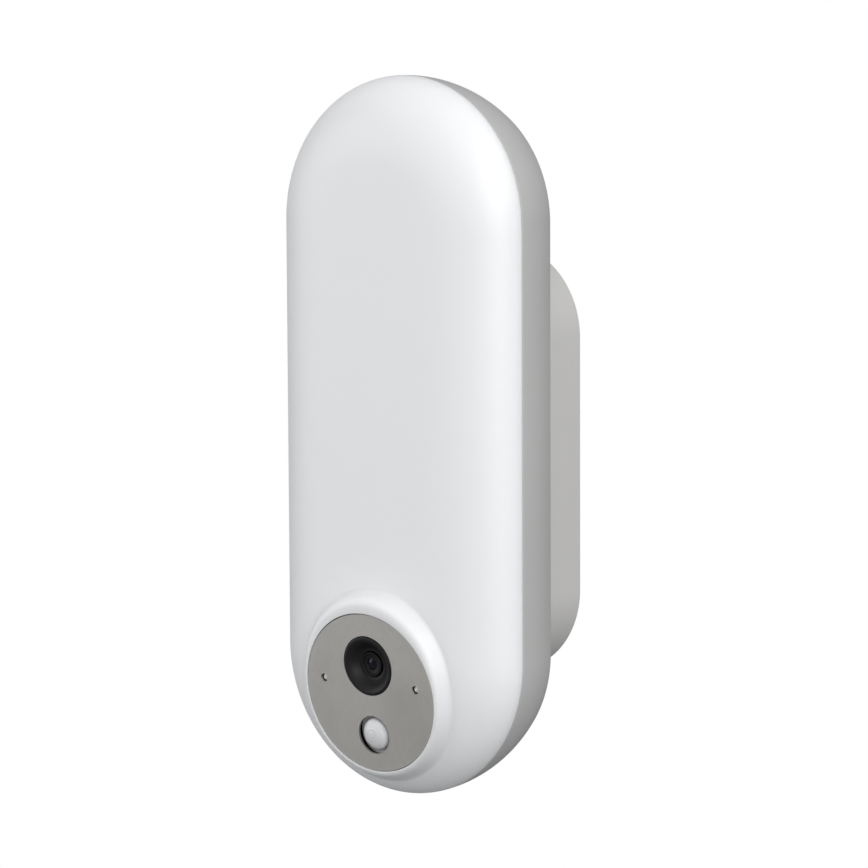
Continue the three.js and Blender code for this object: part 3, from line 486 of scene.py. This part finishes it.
def front_sheet(steps, columns, shrink, spread):
    """Rays from the camera's centre to the outline. Each ray's points crowd towards the outline, where
    the ellipse is steep; the depth blends from the collar's plane to the ellipse by half a cosine of
    a power, over a width that shrinks from the collar's top to its sides."""
    turn = 2 * np.pi * (np.arange(columns) + 0.5) / columns
    dx, dz = np.sin(turn), np.cos(turn)
    reach = np.full(columns, 0.0)
    low, high = np.full(columns, 0.03), np.full(columns, 0.4)
    for _ in range(50):
        reach = (low + high) / 2
        inside = outline_gap(reach * dx, FACE_Z + reach * dz) > shrink
        low, high = np.where(inside, reach, low), np.where(inside, high, reach)
    near = collar_bore / np.sqrt(dx**2 + (dz / math.cos(TILT)) ** 2)
    share = np.linspace(0, 1, steps)[:, None]
    first = np.clip(share / 0.3, 0, 1)
    rest = np.clip((share - 0.3) / 0.7, 0, 1)
    collar_end = np.minimum(near + flare + 0.004, near + 0.72 * (reach - near))
    along = near + (collar_end - near) * first**1.6
    along = np.where(share > 0.3, collar_end + (reach - collar_end) * (1 - (1 - rest) ** 2), along)
    x, z = along * dx, FACE_Z + along * dz
    inside = outline_gap(x, z) - shrink
    body = shoulder_out(np.maximum(inside, 0), SHOULDER_IN - shrink, SHOULDER_OUT - seam - shrink) + seam
    plane = FACE_OUT - JOINT + (z - FACE_Z) * math.tan(TILT) - shrink
    rho = np.hypot(x, (z - FACE_Z) / math.cos(TILT))
    crown = np.clip(dz, 0, 1) ** 1.5
    fall = np.clip((rho - collar_bore) / (spread * (0.50 + 0.47 * crown)), 0, 1)
    weight = 0.5 * (1 + np.cos(np.pi * fall ** (1.15 + 1.3 * crown)))
    top = plane + 0.0003
    out = body + np.maximum(top - body, 0) * weight
    return np.stack([x, -(JOINT + out), z], -1)


outer = front_sheet(120, 420, 0.0, flare)
wall = 0.0024
inner_sheet = front_sheet(30, 420, wall, flare)[::-1]
rim_mid = outer[-1:] * 0.5 + inner_sheet[:1] * 0.5
rim_mid[..., 1] = -(JOINT + seam)
axis_in = np.array([0, math.cos(TILT), math.sin(TILT)])
bore = [outer[:1] + axis_in * depth for depth in (0.0045, 0.0006)]
sheet = np.concatenate([bore[0], bore[1], outer, rim_mid, inner_sheet[:-1]])
opal_front = grid_object("opal_front", sheet)
sharpen(opal_front, 50)
# Milky polycarbonate: light scatters under its satin face, and its tone shows the faint flow of the
# moulding.
opal = mottled_material(
    "opal_polycarbonate",
    {"Dark": (0.79, 0.80, 0.83, 1), "Pale": (0.82, 0.83, 0.86, 1), "Gloss Low": 0.44, "Gloss High": 0.50},
    (9, 2), (2600, 2), (0.15, 0.00001),
    {"Subsurface Weight": 0.35, "Subsurface Radius": (0.008, 0.008, 0.009), "Subsurface Scale": 1.0,
     "IOR": 1.5, "Coat Weight": 0.15, "Coat Roughness": 0.4},
)
finish_piece(opal_front, opal, "fixture", ["front_diffuser"])

# ---------------------------------------------------------------- joint seal
# A grey silicone ring shows as a thin dark line between the opal front and the housing. It sits in
# the joint round the front's spigot.
seal_low, seal_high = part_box("diffuser_seal")
seal_outer, bead_inner = seal_high.x, seal_high.x - 0.0016
seal_front, seal_rear = -(JOINT + 0.0002), seal_high.y
bead = np.array([
    [bead_inner, seal_rear], [seal_outer - 0.0002, seal_rear], [seal_outer, seal_rear - 0.0002],
    [seal_outer, -JOINT], [BODY_R - 0.0008, -(JOINT + 0.00002)], [BODY_R - 0.0008, seal_front],
    [bead_inner, seal_front],
])
joint_seal = grid_object("joint_seal", pill(bead, HALF_STRAIGHT, MID_Z))
sharpen(joint_seal, 38)


def rubber_material(name, colour, roughness=0.75):
    """Moulded rubber: a matt skin with a fine cloudy bloom and a slight pebble in its height."""
    return mottled_material(name, shades(colour, 0.85, 1.2, roughness - 0.08, roughness + 0.1),
                            (60, 5), (1500, 2), (0.4, 0.00003), {"Specular IOR Level": 0.125})


grey_silicone = rubber_material("grey_silicone", (0.17, 0.17, 0.175))
black_rubber = rubber_material("black_rubber", (0.02, 0.02, 0.021))
finish_piece(joint_seal, grey_silicone, "fixture", ["diffuser_seal"])

# ---------------------------------------------------------------- steel camera face
# A stainless disc brushed up and down, with holes for the lens ring, the motion sensor and two
# microphones. Its edges are broken by a hair so that they catch the light.
FACE_T = 0.001
lens_low, lens_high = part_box("lens_bezel")
pir_low, pir_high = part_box("pir_lens")
to_face = Matrix.Translation((0, -FACE_OUT, FACE_Z)) @ Matrix.Rotation(TILT, 4, "X")
from_face = to_face.inverted()
lens_centre = from_face @ ((lens_low + lens_high) / 2)
pir_centre = from_face @ ((pir_low + pir_high) / 2)
mic_low, mic_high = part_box("mic_boot_right")
mic_centre = from_face @ ((mic_low + mic_high) / 2)
LENS_UP, PIR_UP, MIC_UP, MIC_X = lens_centre.z, pir_centre.z, mic_centre.z, mic_centre.x


def turned(name, profile, columns=96, x=0.0, up=0.0, closed=True):
    """A profile of (radius, depth behind the steel face) turned about an axis square to the face."""
    profile = np.asarray(profile, float)
    turn = 2 * np.pi * np.arange(columns) / columns
    local = np.stack([
        x + profile[:, :1] * np.cos(turn), np.repeat(profile[:, 1:2], columns, 1),
        up + profile[:, :1] * np.sin(turn), np.ones((len(profile), columns)),
    ], -1)
    placed = local @ np.array(to_face).T
    return grid_object(name, placed[..., :3], wrap_rows=closed, cap_first=not closed, cap_last=not closed)


broken = 0.00012
disc_profile = [
    (1e-5, 0.0), (FACE_R - broken, 0.0), (FACE_R, broken), (FACE_R, FACE_T), (1e-5, FACE_T),
]
steel_face = turned("steel_face", disc_profile, 144, closed=False)
hole_sizes = [(0.0, LENS_UP, 0.0127), (0.0, PIR_UP, 0.0081), (-MIC_X, MIC_UP, 0.00175), (MIC_X, MIC_UP, 0.00175)]
carve(steel_face, [
    turned("cut", [(1e-5, -0.002), (radius, -0.002), (radius, 0.003), (1e-5, 0.003)], 72, x, z, closed=False)
    for x, z, radius in hole_sizes
])
sharpen(steel_face, 25)


def brushed_group():
    """Noise squeezed across one axis makes long scratches in height; a slow noise joins it in tone."""
    tree, given, out = new_group("brushed_scratches", ("Gloss Low", "Gloss High"), ("Dark", "Pale"), ("Squeeze",))
    place = tree.nodes.new("ShaderNodeTexCoord")
    squeeze = tree.nodes.new("ShaderNodeMapping")
    scratch = add_node(tree, "TexNoise", Scale=2600, Detail=3)
    drift = add_node(tree, "TexNoise", Scale=45)
    part, mixed = tree.nodes.new("ShaderNodeMath"), tree.nodes.new("ShaderNodeMath")
    part.operation, mixed.operation = "MULTIPLY", "MULTIPLY_ADD"
    part.inputs[1].default_value, mixed.inputs[1].default_value = 0.45, 0.55
    for start, end in (
        (place.outputs["Object"], squeeze.inputs["Vector"]), (given["Squeeze"], squeeze.inputs["Scale"]),
        (squeeze.outputs["Vector"], scratch.inputs["Vector"]), (place.outputs["Object"], drift.inputs["Vector"]),
        (drift.outputs["Fac"], part.inputs[0]), (scratch.outputs["Fac"], mixed.inputs[0]),
        (part.outputs["Value"], mixed.inputs[2]),
    ):
        tree.links.new(start, end)
    shade(tree, given, out, mixed.outputs["Value"], scratch.outputs["Fac"], 0.25, 0.00001)
    return tree


brushed_scratches = brushed_group()


def brushed_material(name, colour, roughness, squeeze=(1, 1, 0.012)):
    """Brushed metal: long fine scratches along one axis in tone, gloss and height."""
    settings = {**shades(colour, 0.80, 1.20, roughness - 0.05, roughness + 0.07), "Squeeze": squeeze}
    return effect_material(name, brushed_scratches, settings, {"Metallic": 1.0})


finish_piece(steel_face, brushed_material("brushed_stainless", (0.55, 0.54, 0.515), 0.40), "fixture",
             ["face_plate"])

# ---------------------------------------------------------------- lens ring and barrel
# A black moulded ring, dished inwards with two fine steps that stop stray light, round a turned
# black barrel that holds the glass.
RING_R = 0.0124
ring_front = -0.0004
throat = 0.0055
dish = [
    (throat, 0.0064), (throat, 0.0034), (throat + 0.0002, 0.0031), (throat + 0.0013, 0.0029),
    (throat + 0.0015, 0.00265), (throat + 0.0031, 0.0015), (throat + 0.0032, 0.00128),
    (RING_R - 0.0019, 0.0), (RING_R - 0.0015, -0.00028), (RING_R - 0.0011, ring_front),
    (RING_R - 0.0005, ring_front), (RING_R - 0.00015, ring_front + 0.00016), (RING_R, ring_front + 0.0005),
    (RING_R, 0.0013), (RING_R + 0.0016, 0.0013), (RING_R + 0.0016, 0.0025), (RING_R, 0.0025),
    (throat + 0.0023, 0.0064),
]
lens_ring = turned("lens_ring", dish, 128, up=LENS_UP)
sharpen(lens_ring, 32)


def moulded_material(name, colour, roughness):
    """Moulded plastic: an almost even colour, a slow change in gloss and a fine spark texture."""
    return mottled_material(name, shades(colour, 0.9, 1.08, max(0.02, roughness - 0.05), roughness + 0.06),
                            (70, 3), (2400, 2), (0.3, 0.00002))


ring_black = moulded_material("ring_black", (0.008, 0.008, 0.0085), 0.5)
barrel_black = moulded_material("barrel_black", (0.003, 0.003, 0.0035), 0.45)
for black in (ring_black, barrel_black):
    black.node_tree.nodes["Principled BSDF"].inputs["Specular IOR Level"].default_value = 0.22
finish_piece(lens_ring, ring_black, "fixture", ["lens_bezel"])

thread = []
for k in range(12):
    start = 0.0075 + 0.0005 * k
    thread += [(0.0059, start), (0.00565, start + 0.00025)]
barrel = [
    (0.0043, 0.0026), (0.0045, 0.0024), (0.0050, 0.0024), (0.0052, 0.0026), (0.0052, 0.0070), *thread,
    (0.0059, 0.0139), (0.0043, 0.0139), (0.0043, 0.0120), (0.0030, 0.0116), (0.0030, 0.0059),
    (0.0034, 0.0057), (0.0043, 0.0055),
]
lens_barrel = turned("lens_barrel_turned", barrel, 96, up=LENS_UP)
sharpen(lens_barrel, 32)
finish_piece(lens_barrel, barrel_black, "fixture", ["lens_barrel"])

# ---------------------------------------------------------------- lens glass
# The front glass is a small strongly curved meniscus held by a black retaining ring, with a violet
# tint in its coating. The rear glass keeps its CAD shape.
glass_r = 0.0040
bulge = np.linspace(0, 1, 14)
front_profile = np.stack([glass_r * bulge, 0.0030 + 0.0011 * bulge**2], -1)
front_profile[0, 0] = 1e-5
glass_profile = np.concatenate([front_profile, [[glass_r, 0.0052], [1e-5, 0.0052]]])
front_glass = turned("front_glass", glass_profile, 72, up=LENS_UP, closed=False)
sharpen(front_glass, 40)


def coated_glass(name, colour):
    """Optical glass shown opaque: polished, with a violet-tinted coat and a tone that wanders slightly."""
    return mottled_material(name, shades(colour, 1, 1.7, 0.03, 0.06), (260, 2), constants={
        "Coat Weight": 0.14, "Coat Roughness": 0.02, "Specular IOR Level": 0.12,
        "Coat Tint": (0.62, 0.60, 1.0, 1),
    }, normal=False)


dark_glass = coated_glass("coated_lens_glass", (0.004, 0.004, 0.008))
finish_piece(front_glass, dark_glass, "fixture", ["front_lens"])

retainer = [
    (0.0024, 0.0032), (0.0026, 0.0029), (0.0041, 0.0027), (0.0042, 0.0028), (0.0042, 0.0038), (0.0040, 0.0039),
    (0.0033, 0.0036),
]
retaining_ring = turned("retaining_ring", retainer, 72, up=LENS_UP)
sharpen(retaining_ring, 32)
finish_piece(retaining_ring, barrel_black, "fixture", ())

# ---------------------------------------------------------------- motion-sensor lens
# A milky polythene dome, egg-shaped in section, held by a flange behind the steel face. Rings in its
# material's height stand for the fine facets moulded inside it.
PIR_BASE = 0.0034
dome_r, dome_tip = 0.0070, -0.0014
lift = np.radians(np.linspace(90, 0, 30))
dome = np.stack([dome_r * np.cos(lift), PIR_BASE - 0.0004 - (PIR_BASE - 0.0004 - dome_tip) * np.sin(lift)], -1)
dome[0, 0] = 1e-5
dome_inner = dome[::-1] * [0.86, 1] + [0, 0.0009]
dome_inner[-1, 0] = 1e-5
pir_profile = np.concatenate([
    dome, [[dome_r + 0.0001, PIR_BASE], [0.0091, PIR_BASE], [0.0091, PIR_BASE + 0.001]],
    [[dome_r - 0.001, PIR_BASE + 0.001]],
    dome_inner[1:],
])
pir_dome = turned("pir_dome", pir_profile, 96, up=PIR_UP, closed=False)
sharpen(pir_dome, 45)


def milky_lens_material(name):
    """Thin polythene: milky and satin, with concentric facet lines in its height, laid out as rings
    from the dome's middle."""
    material = mottled_material(
        name, {"Dark": (0.60, 0.605, 0.62, 1), "Pale": (0.68, 0.685, 0.70, 1), "Gloss Low": 0.30, "Gloss High": 0.38},
        (300, 2), constants={"Subsurface Weight": 0.5, "Subsurface Radius": (0.002, 0.002, 0.002),
                             "Subsurface Scale": 1.0}, normal=False)
    tree = material.node_tree
    place = tree.nodes.new("ShaderNodeTexCoord")
    dome_place = to_face @ Vector((0, 0, PIR_UP))
    centre = add_node(tree, "Mapping", Location=(-dome_place.x, 0, -dome_place.z), Scale=(1, 0, 1))
    rings = add_node(tree, "TexWave", Scale=180)
    rings.wave_type, rings.rings_direction = "RINGS", "SPHERICAL"
    bump = add_node(tree, "Bump", Strength=0.5, Distance=0.00015)
    tree.links.new(place.outputs["Object"], centre.inputs["Vector"])
    tree.links.new(centre.outputs["Vector"], rings.inputs["Vector"])
    tree.links.new(rings.outputs["Fac"], bump.inputs["Height"])
    tree.links.new(bump.outputs["Normal"], tree.nodes["Principled BSDF"].inputs["Normal"])
    return material


finish_piece(pir_dome, milky_lens_material("milky_polythene"), "fixture", ["pir_lens"])

# ---------------------------------------------------------------- microphone screens
# A disc of woven stainless mesh, slightly domed, lies behind each microphone hole on its rubber boot
# and keeps water out.
mesh_r = 0.00135
domed = np.linspace(1, 0, 8)
woven_screen = brushed_material("woven_screen", (0.82, 0.81, 0.79), 0.5, (1, 1, 1))
for side, x in (("left", -MIC_X), ("right", MIC_X)):
    profile = np.concatenate([
        [[1e-5, 0.00128]], [[mesh_r * 0.98, 0.00128], [mesh_r, 0.00122]],
        np.stack([mesh_r * 0.96 * domed, 0.00118 - 0.00018 * (1 - domed**2)], -1),
    ])
    profile[-1, 0] = 1e-5
    screen = turned(f"mic_screen_{side}", profile, 48, x, MIC_UP, closed=False)
    finish_piece(screen, woven_screen, "fixture", ())

# ---------------------------------------------------------------- card door
# A grey rubber-coated flap, flush with the housing's back, with a nail notch at its top. A strap
# joins it to the barrel that turns on the pin.
panel_y0, panel_y1 = -BACK, -BACK - 0.0015
door_panel = bar("door_panel", (door_low.x, panel_y0, door_bottom + 0.0003),
                 (door_high.x, panel_y1, door_high.z), 0.001, 8)
notch = peg("cut", 0.0035, panel_y0 + 0.001, panel_y0 - 0.0006,
            (door_low.x + door_high.x) / 2, door_high.z + 0.0017)
carve(door_panel, [notch])
bevel = door_panel.modifiers.new("soft_edges", "BEVEL")
bevel.width, bevel.segments, bevel.limit_method = 0.00018, 2, "ANGLE"
finish_piece(door_panel, grey_silicone, "sd_door", ["sd_door"])
barrel_r = 0.00135
barrel_half = 0.004
hinge_x = (door_low.x + door_high.x) / 2
turn = np.radians(np.linspace(0, 360, 36, endpoint=False))
barrel_ring = np.stack([pin_y + barrel_r * np.cos(turn), pin_z + barrel_r * np.sin(turn)], -1)
grid = np.stack([np.insert(barrel_ring, 0, hinge_x + s * barrel_half, axis=1) for s in (-1, 1)])
door_barrel = capped("door_barrel", grid)
sharpen(door_barrel, 38)
finish_piece(door_barrel, grey_silicone, "sd_door", ())
strap_outline = np.array([
    [pin_y, pin_z], [pin_y - 0.0013, pin_z + 0.0002], [pin_y - 0.0013, door_bottom + 0.0008],
    [-BACK - 0.0006, door_bottom + 0.001], [-BACK - 0.0006, door_bottom + 0.0040],
    [-BACK + 0.0006, door_bottom + 0.0038], [pin_y, door_bottom + 0.0024],
])
grid = np.stack([np.insert(strap_outline, 0, hinge_x + s * barrel_half, axis=1) for s in (-1, 1)])
door_strap = capped("door_strap", grid)
bevel = door_strap.modifiers.new("soft_edges", "BEVEL")
bevel.width, bevel.segments, bevel.limit_method = 0.0002, 2, "ANGLE"
sharpen(door_strap, 38)
finish_piece(door_strap, grey_silicone, "sd_door", ())

# ---------------------------------------------------------------- reset button
# A grey rubber plunger with a slightly dished end, level with the housing's back, and a collar inside
# that stops it falling out.


def upright_turned(name, profile, x, z, columns=64):
    """A profile of (radius, y) turned about an axis along y through (x, z)."""
    profile = np.asarray(profile, float)
    turn = 2 * np.pi * np.arange(columns) / columns
    grid = np.stack([
        x + profile[:, :1] * np.cos(turn), np.repeat(profile[:, 1:2], columns, 1), z + profile[:, :1] * np.sin(turn),
    ], -1)
    return capped(name, grid)


button_face, button_tail = button_high.y, button_low.y
plunger = upright_turned("reset_plunger", [
    (1e-5, button_face - 0.0003), (0.0014, button_face - 0.00015), (0.0021, button_face),
    (0.0024, button_face - 0.0003),
    (0.0024, button_face - 0.0026), (0.0034, button_face - 0.0026), (0.0034, button_face - 0.0034),
    (0.0014, button_face - 0.0034), (0.0014, button_tail), (1e-5, button_tail),
], button_x, button_z)
sharpen(plunger, 45)
finish_piece(plunger, grey_silicone, "reset_button", ["reset_button"])

# ---------------------------------------------------------------- screws
# Zinc-plated pan-head machine screws with a cross recess. Heads on the housing's back and in the wall
# box face the wall; the pod's two face the wall too, and the locking screw points up from below.


def plated_group():
    """A cloudy noise moves tone and gloss; the distance to scattered points is the height of pits."""
    tree, given, out = new_group("plated_patchwork", ("Gloss Low", "Gloss High"), ("Dark", "Pale"))
    place = tree.nodes.new("ShaderNodeTexCoord")
    cloud = add_node(tree, "TexNoise", Scale=140, Detail=5)
    pits = add_node(tree, "TexVoronoi", Scale=900)
    for texture in (cloud, pits):
        tree.links.new(place.outputs["Object"], texture.inputs["Vector"])
    shade(tree, given, out, cloud.outputs["Fac"], pits.outputs["Distance"], 0.2, 0.00002)
    return tree


plated_patchwork = plated_group()


def plated_material(name, colour, roughness):
    """Zinc plate: bright grey metal with a cloudy patchwork and fine pitting."""
    settings = shades(colour, 0.82, 1.12, roughness - 0.08, roughness + 0.12)
    return effect_material(name, plated_patchwork, settings, {"Metallic": 1.0})


zinc = plated_material("zinc_plate", (0.60, 0.61, 0.63), 0.34)


def screw_along_y(name, node, head_y, tail_y, x, z, head=0.0028, shank=0.0015, tall=0.0018):
    """A domed head on a shank with shallow thread rings, along y from the head to the tail, with a
    cross recess cut into the head."""
    way = 1 if head_y > tail_y else -1
    crown = np.radians(np.linspace(90, 12, 9))
    top = np.stack([head * np.cos(crown), head_y - way * (tall * 0.55) * (1 - np.sin(crown))], -1)
    top[0, 0] = 1e-5
    seat = head_y - way * tall
    turns = np.arange(seat - way * 0.0008, tail_y + way * 0.0008, -way * 0.00025)
    ridge = np.stack([np.where(np.arange(len(turns)) % 2, shank, shank * 0.84), turns], -1)
    profile = np.concatenate([top, [[head, seat + way * 0.0001], [head, seat], [shank * 0.9, seat]], ridge,
                              [[shank * 0.5, tail_y], [1e-5, tail_y]]])
    body = upright_turned(name, profile, x, z, 40)
    cuts = []
    for across, along in ((0.6, 0.13), (0.13, 0.6)):
        cuts.append(bar("cut", (x - head * across, head_y + way * 0.001, z - head * along),
                        (x + head * across, head_y - way * tall * 0.55, z + head * along), 0.0001, 2))
    carve(body, cuts)
    sharpen(body, 30)
    return finish_piece(body, zinc, "fixture", [node])


for node in sorted(nodes):
    if node.startswith(("housing_screw", "box_screw", "pod_screw")):
        low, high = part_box(node)
        screw_along_y(f"{node}_cut", node, high.y, low.y, (low.x + high.x) / 2, (low.z + high.z) / 2)
low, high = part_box("earth_screw")
screw_along_y("earth_screw_cut", "earth_screw", low.y, high.y, (low.x + high.x) / 2, (low.z + high.z) / 2)

# ---------------------------------------------------------------- wall plate and its seal
# Pressed zinc-plated steel with two wall slots, a cable hole and two bent tabs. A black foam seal
# runs round it inside the wall box.
plate_low, plate_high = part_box("wall_plate")
plate_r = plate_high.x
PLATE_T = 0.0015
plate_profile = [
    (1e-5, -0.0), (plate_r - 0.0002, -0.0), (plate_r, -0.0002), (plate_r, -PLATE_T + 0.0002),
    (plate_r - 0.0002, -PLATE_T), (1e-5, -PLATE_T),
]
wall_plate = capped("wall_plate_pressed", pill(plate_profile, box_half_straight, 0.0, 160))
grommet_low, grommet_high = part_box("cable_grommet")
cable_z = (grommet_low.z + grommet_high.z) / 2
earth_x, earth_z = (low.x + high.x) / 2, (low.z + high.z) / 2
plate_cuts = [
    bar("cut", (-0.0025, 0.001, z - 0.007), (0.0025, -0.003, z + 0.007), 0.0024, 8) for z in (0.04, -0.04)
]
plate_cuts.append(peg("cut", 0.0093, 0.001, -0.003, 0.0, cable_z, 72))
plate_cuts.append(peg("cut", 0.0018, 0.001, -0.003, earth_x, earth_z, 24))
carve(wall_plate, plate_cuts)
sharpen(wall_plate, 30)
plate_zinc = plated_material("galvanised_plate", (0.56, 0.57, 0.58), 0.42)
finish_piece(wall_plate, plate_zinc, "fixture", ["wall_plate"])
tab_top = plate_high.z - 0.0075
for name, z0, z1, reach in (("plate_hook", plate_high.z - 0.009, tab_top, 0.012),
                            ("plate_lock_tab", plate_low.z + 0.004, plate_low.z + 0.006, 0.020)):
    half_width, nose = 0.008, 0.003
    turn = np.radians(np.linspace(0, 90, 8))
    outline = np.concatenate([
        [[-half_width, -PLATE_T + 0.0003]],
        np.stack([-half_width + nose - nose * np.cos(turn), -reach + nose - nose * np.sin(turn)], -1),
        np.stack([half_width - nose + nose * np.sin(turn), -reach + nose - nose * np.cos(turn)], -1),
        [[half_width, -PLATE_T + 0.0003]],
    ])
    grid = np.stack([np.insert(outline, 2, z, axis=1) for z in (z0, z1)])
    tab = capped(name, grid)
    if name == "plate_lock_tab":
        lock_y = (lock_low.y + lock_high.y) / 2
        turn = 2 * np.pi * np.arange(32) / 32
        ring = np.stack([0.0023 * np.cos(turn), lock_y + 0.0023 * np.sin(turn)], -1)
        hole = capped("cut", np.stack([np.insert(ring, 2, z, axis=1) for z in (z0 - 0.002, z1 + 0.002)]))
        carve(tab, [hole])
    sharpen(tab, 30)
    finish_piece(tab, plate_zinc, "fixture", ())

ring_low, ring_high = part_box("wall_seal")
foam_outer, foam_inner = ring_high.x, plate_r + 0.0003
foam_deep = -ring_low.y
soft_turn = np.radians(np.linspace(0, 360, 24, endpoint=False))
squared = [np.sign(wave) * np.abs(wave) ** 0.4 for wave in (np.cos(soft_turn), np.sin(soft_turn))]
foam_profile = np.stack([
    (foam_outer + foam_inner) / 2 + (foam_outer - foam_inner) / 2 * squared[0],
    -foam_deep / 2 + foam_deep / 2 * squared[1],
], -1)
wall_foam = grid_object("wall_foam", pill(foam_profile, box_half_straight, 0.0, 160))
finish_piece(wall_foam, black_rubber, "fixture", ["wall_seal"])

low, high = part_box("locking_screw")
lock_screw = screw_along_y("locking_screw_cut", "locking_screw", low.z, high.z, (low.x + high.x) / 2,
                           -(low.y + high.y) / 2, head=(high.x - low.x) / 2, shank=0.0018, tall=0.0022)
lock_screw.data.transform(Matrix.Rotation(np.pi / 2, 4, "X"))

# ---------------------------------------------------------------- circuit boards
# Glass-fibre boards under green or white solder mask, with traces and vias drawn in the material.
# The LED chips stand further forward than their board and are told apart by that.


def board_group():
    """A grid of narrow lines and small round dots, joined by their maximum, is the mask of traces and
    vias. Whatever stands further out than the chips' front is the yellow phosphor of the LEDs."""
    tree, given, out = new_group(
        "circuit_traces", ("Gloss Low", "Gloss High", "Chips Front"), ("Dark", "Pale"))
    place = tree.nodes.new("ShaderNodeTexCoord")
    black, white = (0, 0, 0, 1), (1, 1, 1, 1)
    lines = add_node(tree, "TexBrick", Scale=260, Mortar_Size=0.04, Color1=black, Color2=black, Mortar=white)
    flat = add_node(tree, "Mapping", Rotation=(np.pi / 2, 0, 0))
    vias = add_node(tree, "TexVoronoi", Scale=320, Randomness=0.35)
    dot = add_node(tree, "MapRange", From_Min=0.12, From_Max=0.16, To_Min=1, To_Max=0)
    both, ahead = tree.nodes.new("ShaderNodeMath"), tree.nodes.new("ShaderNodeMath")
    both.operation, ahead.operation = "MAXIMUM", "LESS_THAN"
    split = tree.nodes.new("ShaderNodeSeparateXYZ")
    shade(tree, given, out, both.outputs["Value"], both.outputs["Value"], 0.4, 0.00004)
    phosphor = tree.nodes.new("ShaderNodeMix")
    phosphor.data_type = "RGBA"
    phosphor.inputs["B"].default_value = (0.80, 0.62, 0.10, 1)
    traced = out["Color"].links[0].from_socket
    for start, end in (
        (place.outputs["Object"], flat.inputs["Vector"]), (flat.outputs["Vector"], lines.inputs["Vector"]),
        (place.outputs["Object"], vias.inputs["Vector"]), (vias.outputs["Distance"], dot.inputs["Value"]),
        (lines.outputs["Color"], both.inputs[0]), (dot.outputs["Result"], both.inputs[1]),
        (place.outputs["Object"], split.inputs["Vector"]), (split.outputs["Y"], ahead.inputs[0]),
        (given["Chips Front"], ahead.inputs[1]), (ahead.outputs["Value"], phosphor.inputs["Factor"]),
        (traced, phosphor.inputs["A"]), (phosphor.outputs["Result"], out["Color"]),
    ):
        tree.links.new(start, end)
    return tree


circuit_traces = board_group()


def board_material(name, mask, trace, chips=-1.0):
    """Solder mask with slightly raised, paler traces; chips is the y beyond which phosphor begins."""
    settings = {"Dark": (*mask, 1), "Pale": (*trace, 1), "Gloss Low": 0.35, "Gloss High": 0.21, "Chips Front": chips}
    return effect_material(name, circuit_traces, settings, {"Coat Weight": 0.4, "Coat Roughness": 0.25})


def cover(material, *names):
    """Gives carried-over CAD nodes one material."""
    for name in names:
        nodes[name].data.materials.clear()
        nodes[name].data.materials.append(material)


green_mask = board_material("green_mask", (0.015, 0.11, 0.045), (0.03, 0.20, 0.08))
led_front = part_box("led_board")[0].y
white_mask = board_material("white_mask", (0.75, 0.75, 0.73), (0.70, 0.70, 0.67), led_front + 0.0003)
cover(green_mask, "sd_board", "main_board", "camera_board")
cover(white_mask, "led_board")

# ---------------------------------------------------------------- pod cup
# The black polycarbonate cup that closes the pod's back and carries the camera, the microphones and
# the motion sensor; two screws from the housing hold it.
matt_black = moulded_material("matt_black", (0.02, 0.02, 0.022), 0.55)
cover(matt_black, "pod_cup", "lens_holder", "filter_slider", "reset_switch", "speaker")

# ---------------------------------------------------------------- box seal, grommet and boots
# Black EPDM rubber: the ring between box and body, the grommet round the supply cable, the speaker's
# gasket and the boots that hold the microphones against the face.
cover(black_rubber, "box_seal", "cable_grommet", "speaker_gasket", "mic_boot_left", "mic_boot_right")

# ---------------------------------------------------------------- driver and terminals
# The driver sits in a white polycarbonate case, the terminals in a light grey block with orange
# levers, both held in the wall box.
white_case = moulded_material("white_case", (0.72, 0.72, 0.70), 0.45)
grey_block = moulded_material("grey_block", (0.45, 0.46, 0.47), 0.4)
orange_moulding = moulded_material("orange_moulding", (0.85, 0.25, 0.02), 0.38)
cover(white_case, "led_driver")
cover(grey_block, "terminal_block")
cover(orange_moulding, "lever_live", "lever_neutral", "lever_earth")

# ---------------------------------------------------------------- heat spreader and pins
# A plain aluminium sheet behind the LED board. The card door's pin and the cans of the motion sensor
# and the microphones are plated steel.
mill_aluminium = brushed_material("mill_aluminium", (0.70, 0.71, 0.72), 0.38)
cover(mill_aluminium, "heat_spreader")
cover(zinc, "sd_door_pin", "pir_sensor", "mic_left", "mic_right")

# ---------------------------------------------------------------- reflector sheet
# White microfoamed polyester behind the opal front, matt and bright, with square openings for the
# LEDs and a round one for the camera pod.
foam_white = moulded_material("white_reflector", (0.86, 0.86, 0.85), 0.8)
cover(foam_white, "reflector_sheet")

# ---------------------------------------------------------------- memory card and radio module
# A black moulded card that slides into its slot, a shielded radio module on the main board and a
# thin copper aerial on the housing's back.
card_black = moulded_material("card_black", (0.03, 0.03, 0.035), 0.5)
cover(card_black, "sd_card")
cover(plated_material("shield_can", (0.66, 0.66, 0.64), 0.30), "wifi_module", "sd_slot")
cover(brushed_material("bare_copper", (0.72, 0.40, 0.24), 0.38), "wifi_antenna")

# ---------------------------------------------------------------- leads
# The supply lead has a matt black sleeve. The camera's lead is a flat amber ribbon of polyimide.
# Each is one bent piece.
sleeve = rubber_material("lead_sleeve", (0.03, 0.03, 0.03), 0.6)
cover(sleeve, "supply_lead")
cover(moulded_material("polyimide_ribbon", (0.55, 0.22, 0.05), 0.35), "camera_lead")

# ---------------------------------------------------------------- filter and rear lens
# The infrared-cut glass, the sensor and the rear lens are shown opaque under a violet-tinted coat.
# The coil that moves the filter is enamelled copper wire.
cover(coated_glass("filter_coating", (0.42, 0.58, 0.60)), "ir_cut_glass")
cover(coated_glass("rear_coating", (0.5, 0.45, 0.62)), "rear_lens", "image_sensor")
cover(brushed_material("enamelled_wire", (0.72, 0.30, 0.12), 0.35, (40, 1, 1)), "filter_coil")
